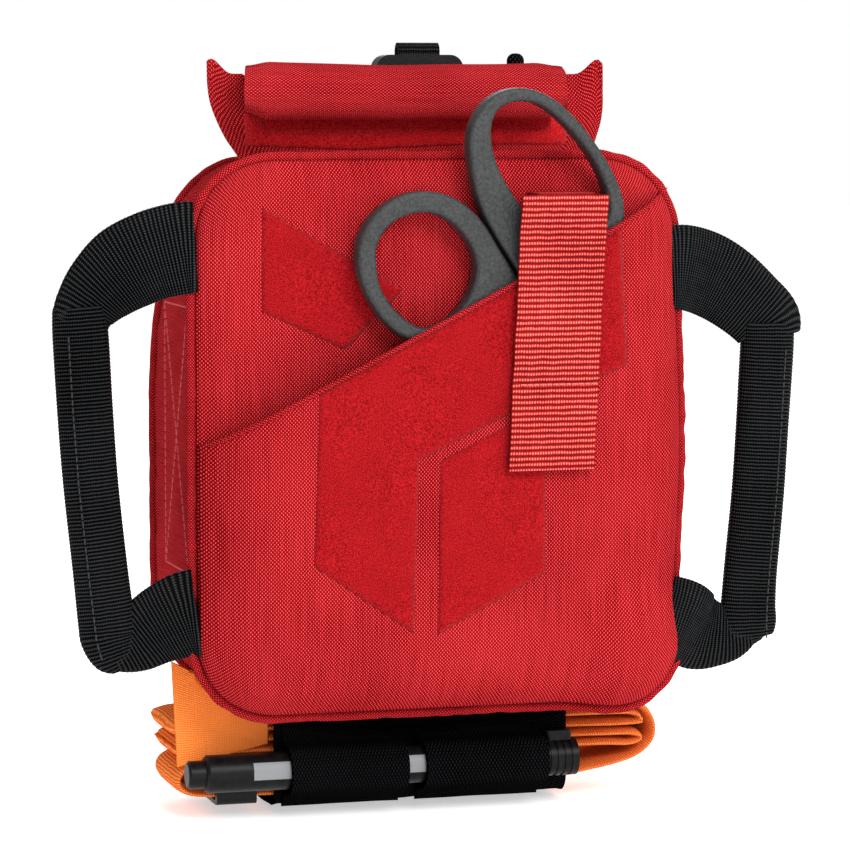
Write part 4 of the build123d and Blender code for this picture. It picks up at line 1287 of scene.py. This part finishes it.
label_area = calc(body_tree, "MULTIPLY", label_band(0, -0.063, -0.0025), label_band(2, -0.1163, -0.1105))
label_mix = body_tree.nodes.new("ShaderNodeMix")
label_mix.data_type = "RGBA"
body_shader = body_tree.nodes["Principled BSDF"]
base_link = body_shader.inputs["Base Color"].links[0].from_socket
body_tree.links.new(base_link, label_mix.inputs[6])
label_mix.inputs[7].default_value = (0.215, 0.225, 0.235, 1)
body_tree.links.new(label_area, label_mix.inputs[0])
body_tree.links.new(label_mix.outputs[2], body_shader.inputs["Base Color"])
finish_nodes(marker_body, "marker_barrel")
finish_nodes(moulded("felt_tip", (0.012, 0.012, 0.014), 0.95, 0.0002, 1500), "marker_nib")

# ---- Tourniquet -----------------------------------------------------------------
# A 38 mm orange band is folded to and fro and pressed flat; its free end hangs at the left front.
# Windlass, clip, base plate and buckle are moulded black plastic.
# The band and its free end are lit and shaded copies of one orange webbing: the folded band is darker,
# painted shade in its folds, and the free end is lighter, painted light where the pouch shades it.
orange_free_end_lit = cloth(
    "orange_free_end_lit", (1.0, 0.33, 0.072), (0.92, 0.185, 0.032), 0.0009, 0.0008, 0.0002, 0.8, 1.0, ribs=True,
    body=(0.6, 0.5, 0.4),
)
orange_folds_shaded = cloth(
    "orange_folds_shaded", (1.0, 0.31, 0.085), (0.60, 0.110, 0.020), 0.0009, 0.0009, 0.0002, 0.8, 1.0, ribs=True,
    body=(0.6, 0.5, 0.4),
)
band_run = [
    (50.5, -123.4),
    (60, -121.6),
    (71, -119.8),
    (80, -117.2),
    (85.6, -112.2),
    (86.0, -106.0),
    (82.0, -100.4),
    (73, -98.4),
    (40, -98.2),
    (-40, -98.2),
    (-76, -98.3),
    (-84.5, -98.9),
    (-86.6, -100.2),
    (-84.0, -101.6),
    (-76, -101.8),
    (-40, -101.8),
    (40, -101.8),
    (73, -102.0),
    (79.6, -102.6),
    (81.0, -104.2),
    (78.0, -105.6),
    (40, -105.4),
    (-40, -105.4),
    (-74, -105.6),
    (-82.4, -106.2),
    (-84.4, -107.6),
    (-81.5, -108.9),
    (-40, -109.0),
    (40, -109.0),
    (70, -109.2),
    (79, -109.6),
    (81.4, -111.6),
    (77, -113.2),
    (66, -112.7),
    (40, -112.6),
    (-40, -112.6),
    (-74, -112.9),
    (-82.6, -115.0),
    (-85.2, -119.0),
    (-81.5, -122.8),
    (-72, -124.0),
    (-50.5, -123.9),
]
strap_tube(
    "tourniquet_band_cloth",
    [(x, neck_mid + 0.8 * ripple(x, z, 0, 20), z + 0.5 * ripple(x, z, 9, 9), 37.6, 3.2) for x, z in band_run],
    "tourniquet",
    30,
    1300,
    0.12,
    1.7,
    ("tourniquet_band",),
    True,
    orange_folds_shaded,
)


def tail_place(u, v):
    left = (-88.0 + 1.8 * v, -76.8 - 36.4 * v)
    right = (-54.4, -95.0 - 11.5 * v)
    x = left[0] + (right[0] - left[0]) * u
    z = left[1] + (right[1] - left[1]) * u
    corner = 66.5 + sqrt(max(0.0, 28.6**2 - min(0.0, x + 57) ** 2)) if x < -57 else 95.2
    z = z if v > 0 else min(z, -corner)
    z = -corner + (z + corner) * v if -corner < z and v < 1 else z
    y = -62.0 - 0.6 * sin(pi * u) + 0.5 * ripple(x, 0, z, 14)
    return x, y, z


finish_piece(
    "tourniquet_free_end",
    grid_sheet(60, 60, (0.033, 0.034), tail_place),
    "tourniquet",
    orange_free_end_lit,
    ("tourniquet_band_end",),
    thick=1.3,
    outward=(0, -1, 0),
)
windlass_plastic = moulded("windlass_plastic", (0.0055, 0.0055, 0.006), 0.42, 0.00008, shine=0.14)
finish_nodes(windlass_plastic, "tourniquet_base_plate", "windlass_clip", "windlass_rod", "tourniquet_buckle")
time_strap_run = [
    (-25.0, -117.0),
    (-24.8, -123.0),
    (-25.6, -126.0),
    (-29.0, -126.9),
    (-42.0, -126.9),
    (-55.0, -126.9),
    (-58.4, -126.0),
    (-59.2, -123.0),
    (-59.0, -117.0),
]


def time_strap_place(u, v):
    y, z = smooth_path(time_strap_run, v)
    return 21 + 12 * u, y, z - 0.3 * ribbed(12 * u, 60 * v, 1.6, 0.3)


finish_piece(
    "time_strap_webbing",
    grid_sheet(16, 150, (0.012, 0.052), time_strap_place),
    "tourniquet",
    black_webbing,
    ("tourniquet_time_strap",),
    thick=0.8,
)


def ribbon_place(u, v):
    a = 2 * pi * v
    return -8 + 16 * u, neck_mid + 6.6 * cos(a), -119.9 + 4.6 * sin(a) + ribbed(16 * u, 40 * v, 1.5, 0.2)


finish_piece(
    "windlass_ribbon_webbing",
    grid_sheet(18, 90, (0.016, 0.04), ribbon_place),
    "tourniquet",
    black_webbing,
    ("windlass_ribbon",),
    thick=0.8,
)

# ---- Shears ---------------------------------------------------------------------
# Trauma shears: moulded dark grey handles with a fine texture on ground steel blades.
shears_grip = moulded("shears_grip", (0.023, 0.0245, 0.025), 0.5, 0.0002, 1100, wear=0.45)
finish_nodes(shears_grip, "shears_long_handle", "shears_ring_handle")
ground_steel = moulded("ground_steel", (0.55, 0.56, 0.58), 0.3, 0.00002, 300, metal=1.0, shine=0.5)
finish_nodes(ground_steel, "shears_long_blade", "shears_ring_blade", "shears_pivot_screw")
finish_nodes(windlass_plastic, "shears_tip_guard")

# ---- Release buckle and pull cord -----------------------------------------------
# A side-release buckle on a webbing stub stands behind the roll, with a braided pull cord beside it.
finish_nodes(windlass_plastic, "buckle_male", "buckle_female")
# The braid's threads carry a painted highlight and painted shade between them.
braid = ((0.028, 0.029, 0.031), (0.0006, 0.0006, 0.0008), 0.0007, 0.0009, 0.0003, 0.7)
finish_nodes(cloth("cord_weave", *braid, body=(0.3, 0.3, 0.3), mapped=False), "pull_cord")
strap_tube(
    "buckle_stub",
    [(12.5, -14, z, 25, 1.8) for z in (93.6, 98, 102.5)],
    "pouch",
    40,
    30,
    0.12,
    replaced=("buckle_strap",),
)
tab_run = [(-12.0, 127.8), (-11.8, 130.6), (-13.0, 132.4), (-15.0, 132.4), (-16.2, 130.6), (-16.0, 127.8)]


def tab_place(u, v):
    y, z = smooth_path(tab_run, v)
    return 5 + 15 * u, y, z - ribbed(15 * u, 12 * v, 1.25, 0.15)


finish_piece(
    "buckle_tab_fold",
    grid_sheet(24, 60, (0.015, 0.012), tab_place),
    "release_buckle",
    black_webbing,
    ("buckle_tab",),
    thick=1.4,
    offset=0.0,
)

# ---- Back panel and belt straps -------------------------------------------------
# The back is a padded nylon panel over a board. Two snap-down webbing straps take a belt.
def back_surface(x, z):
    edge = inside(x, z, *panel_half, panel_radius)
    return -6.0 + 2.9 * rolled_rise(edge, 8) + 0.08 * ripple(x, 40, z, 16)


def back_place(u, v):
    x, z = round_corner(2 * u - 1, 2 * v - 1, *panel_half, panel_radius)
    return settle(x, back_surface(x, z), z)


finish_piece(
    "back_panel_cloth",
    grid_sheet(120, 132, (0.17, 0.189), back_place),
    "pouch",
    red_nylon,
    ("back_panel", "back_board"),
    thick=1.0,
    outward=(0, 1, 0),
)
snap_metal = moulded("snap_metal", (0.045, 0.045, 0.048), 0.35, 0.00003, metal=0.9, shine=0.5)
finish_nodes(snap_metal, "snap_studs", "snap_cap_left", "snap_cap_right")
for side, centre in (("left", -38.0), ("right", 38.0)):
    strap_tube(
        f"belt_webbing_{side}",
        [(centre, 4.0, z, 25, 1.5) for z in (36.3, 20, -20, -46.3)],
        f"belt_strap_{side}",
        48,
        330,
        0.14,
        replaced=(f"belt_strap_{side}",),
    )
finish_nodes(webbing("anchor_webbing", *webbing_black, mapped=False), "belt_strap_anchors")
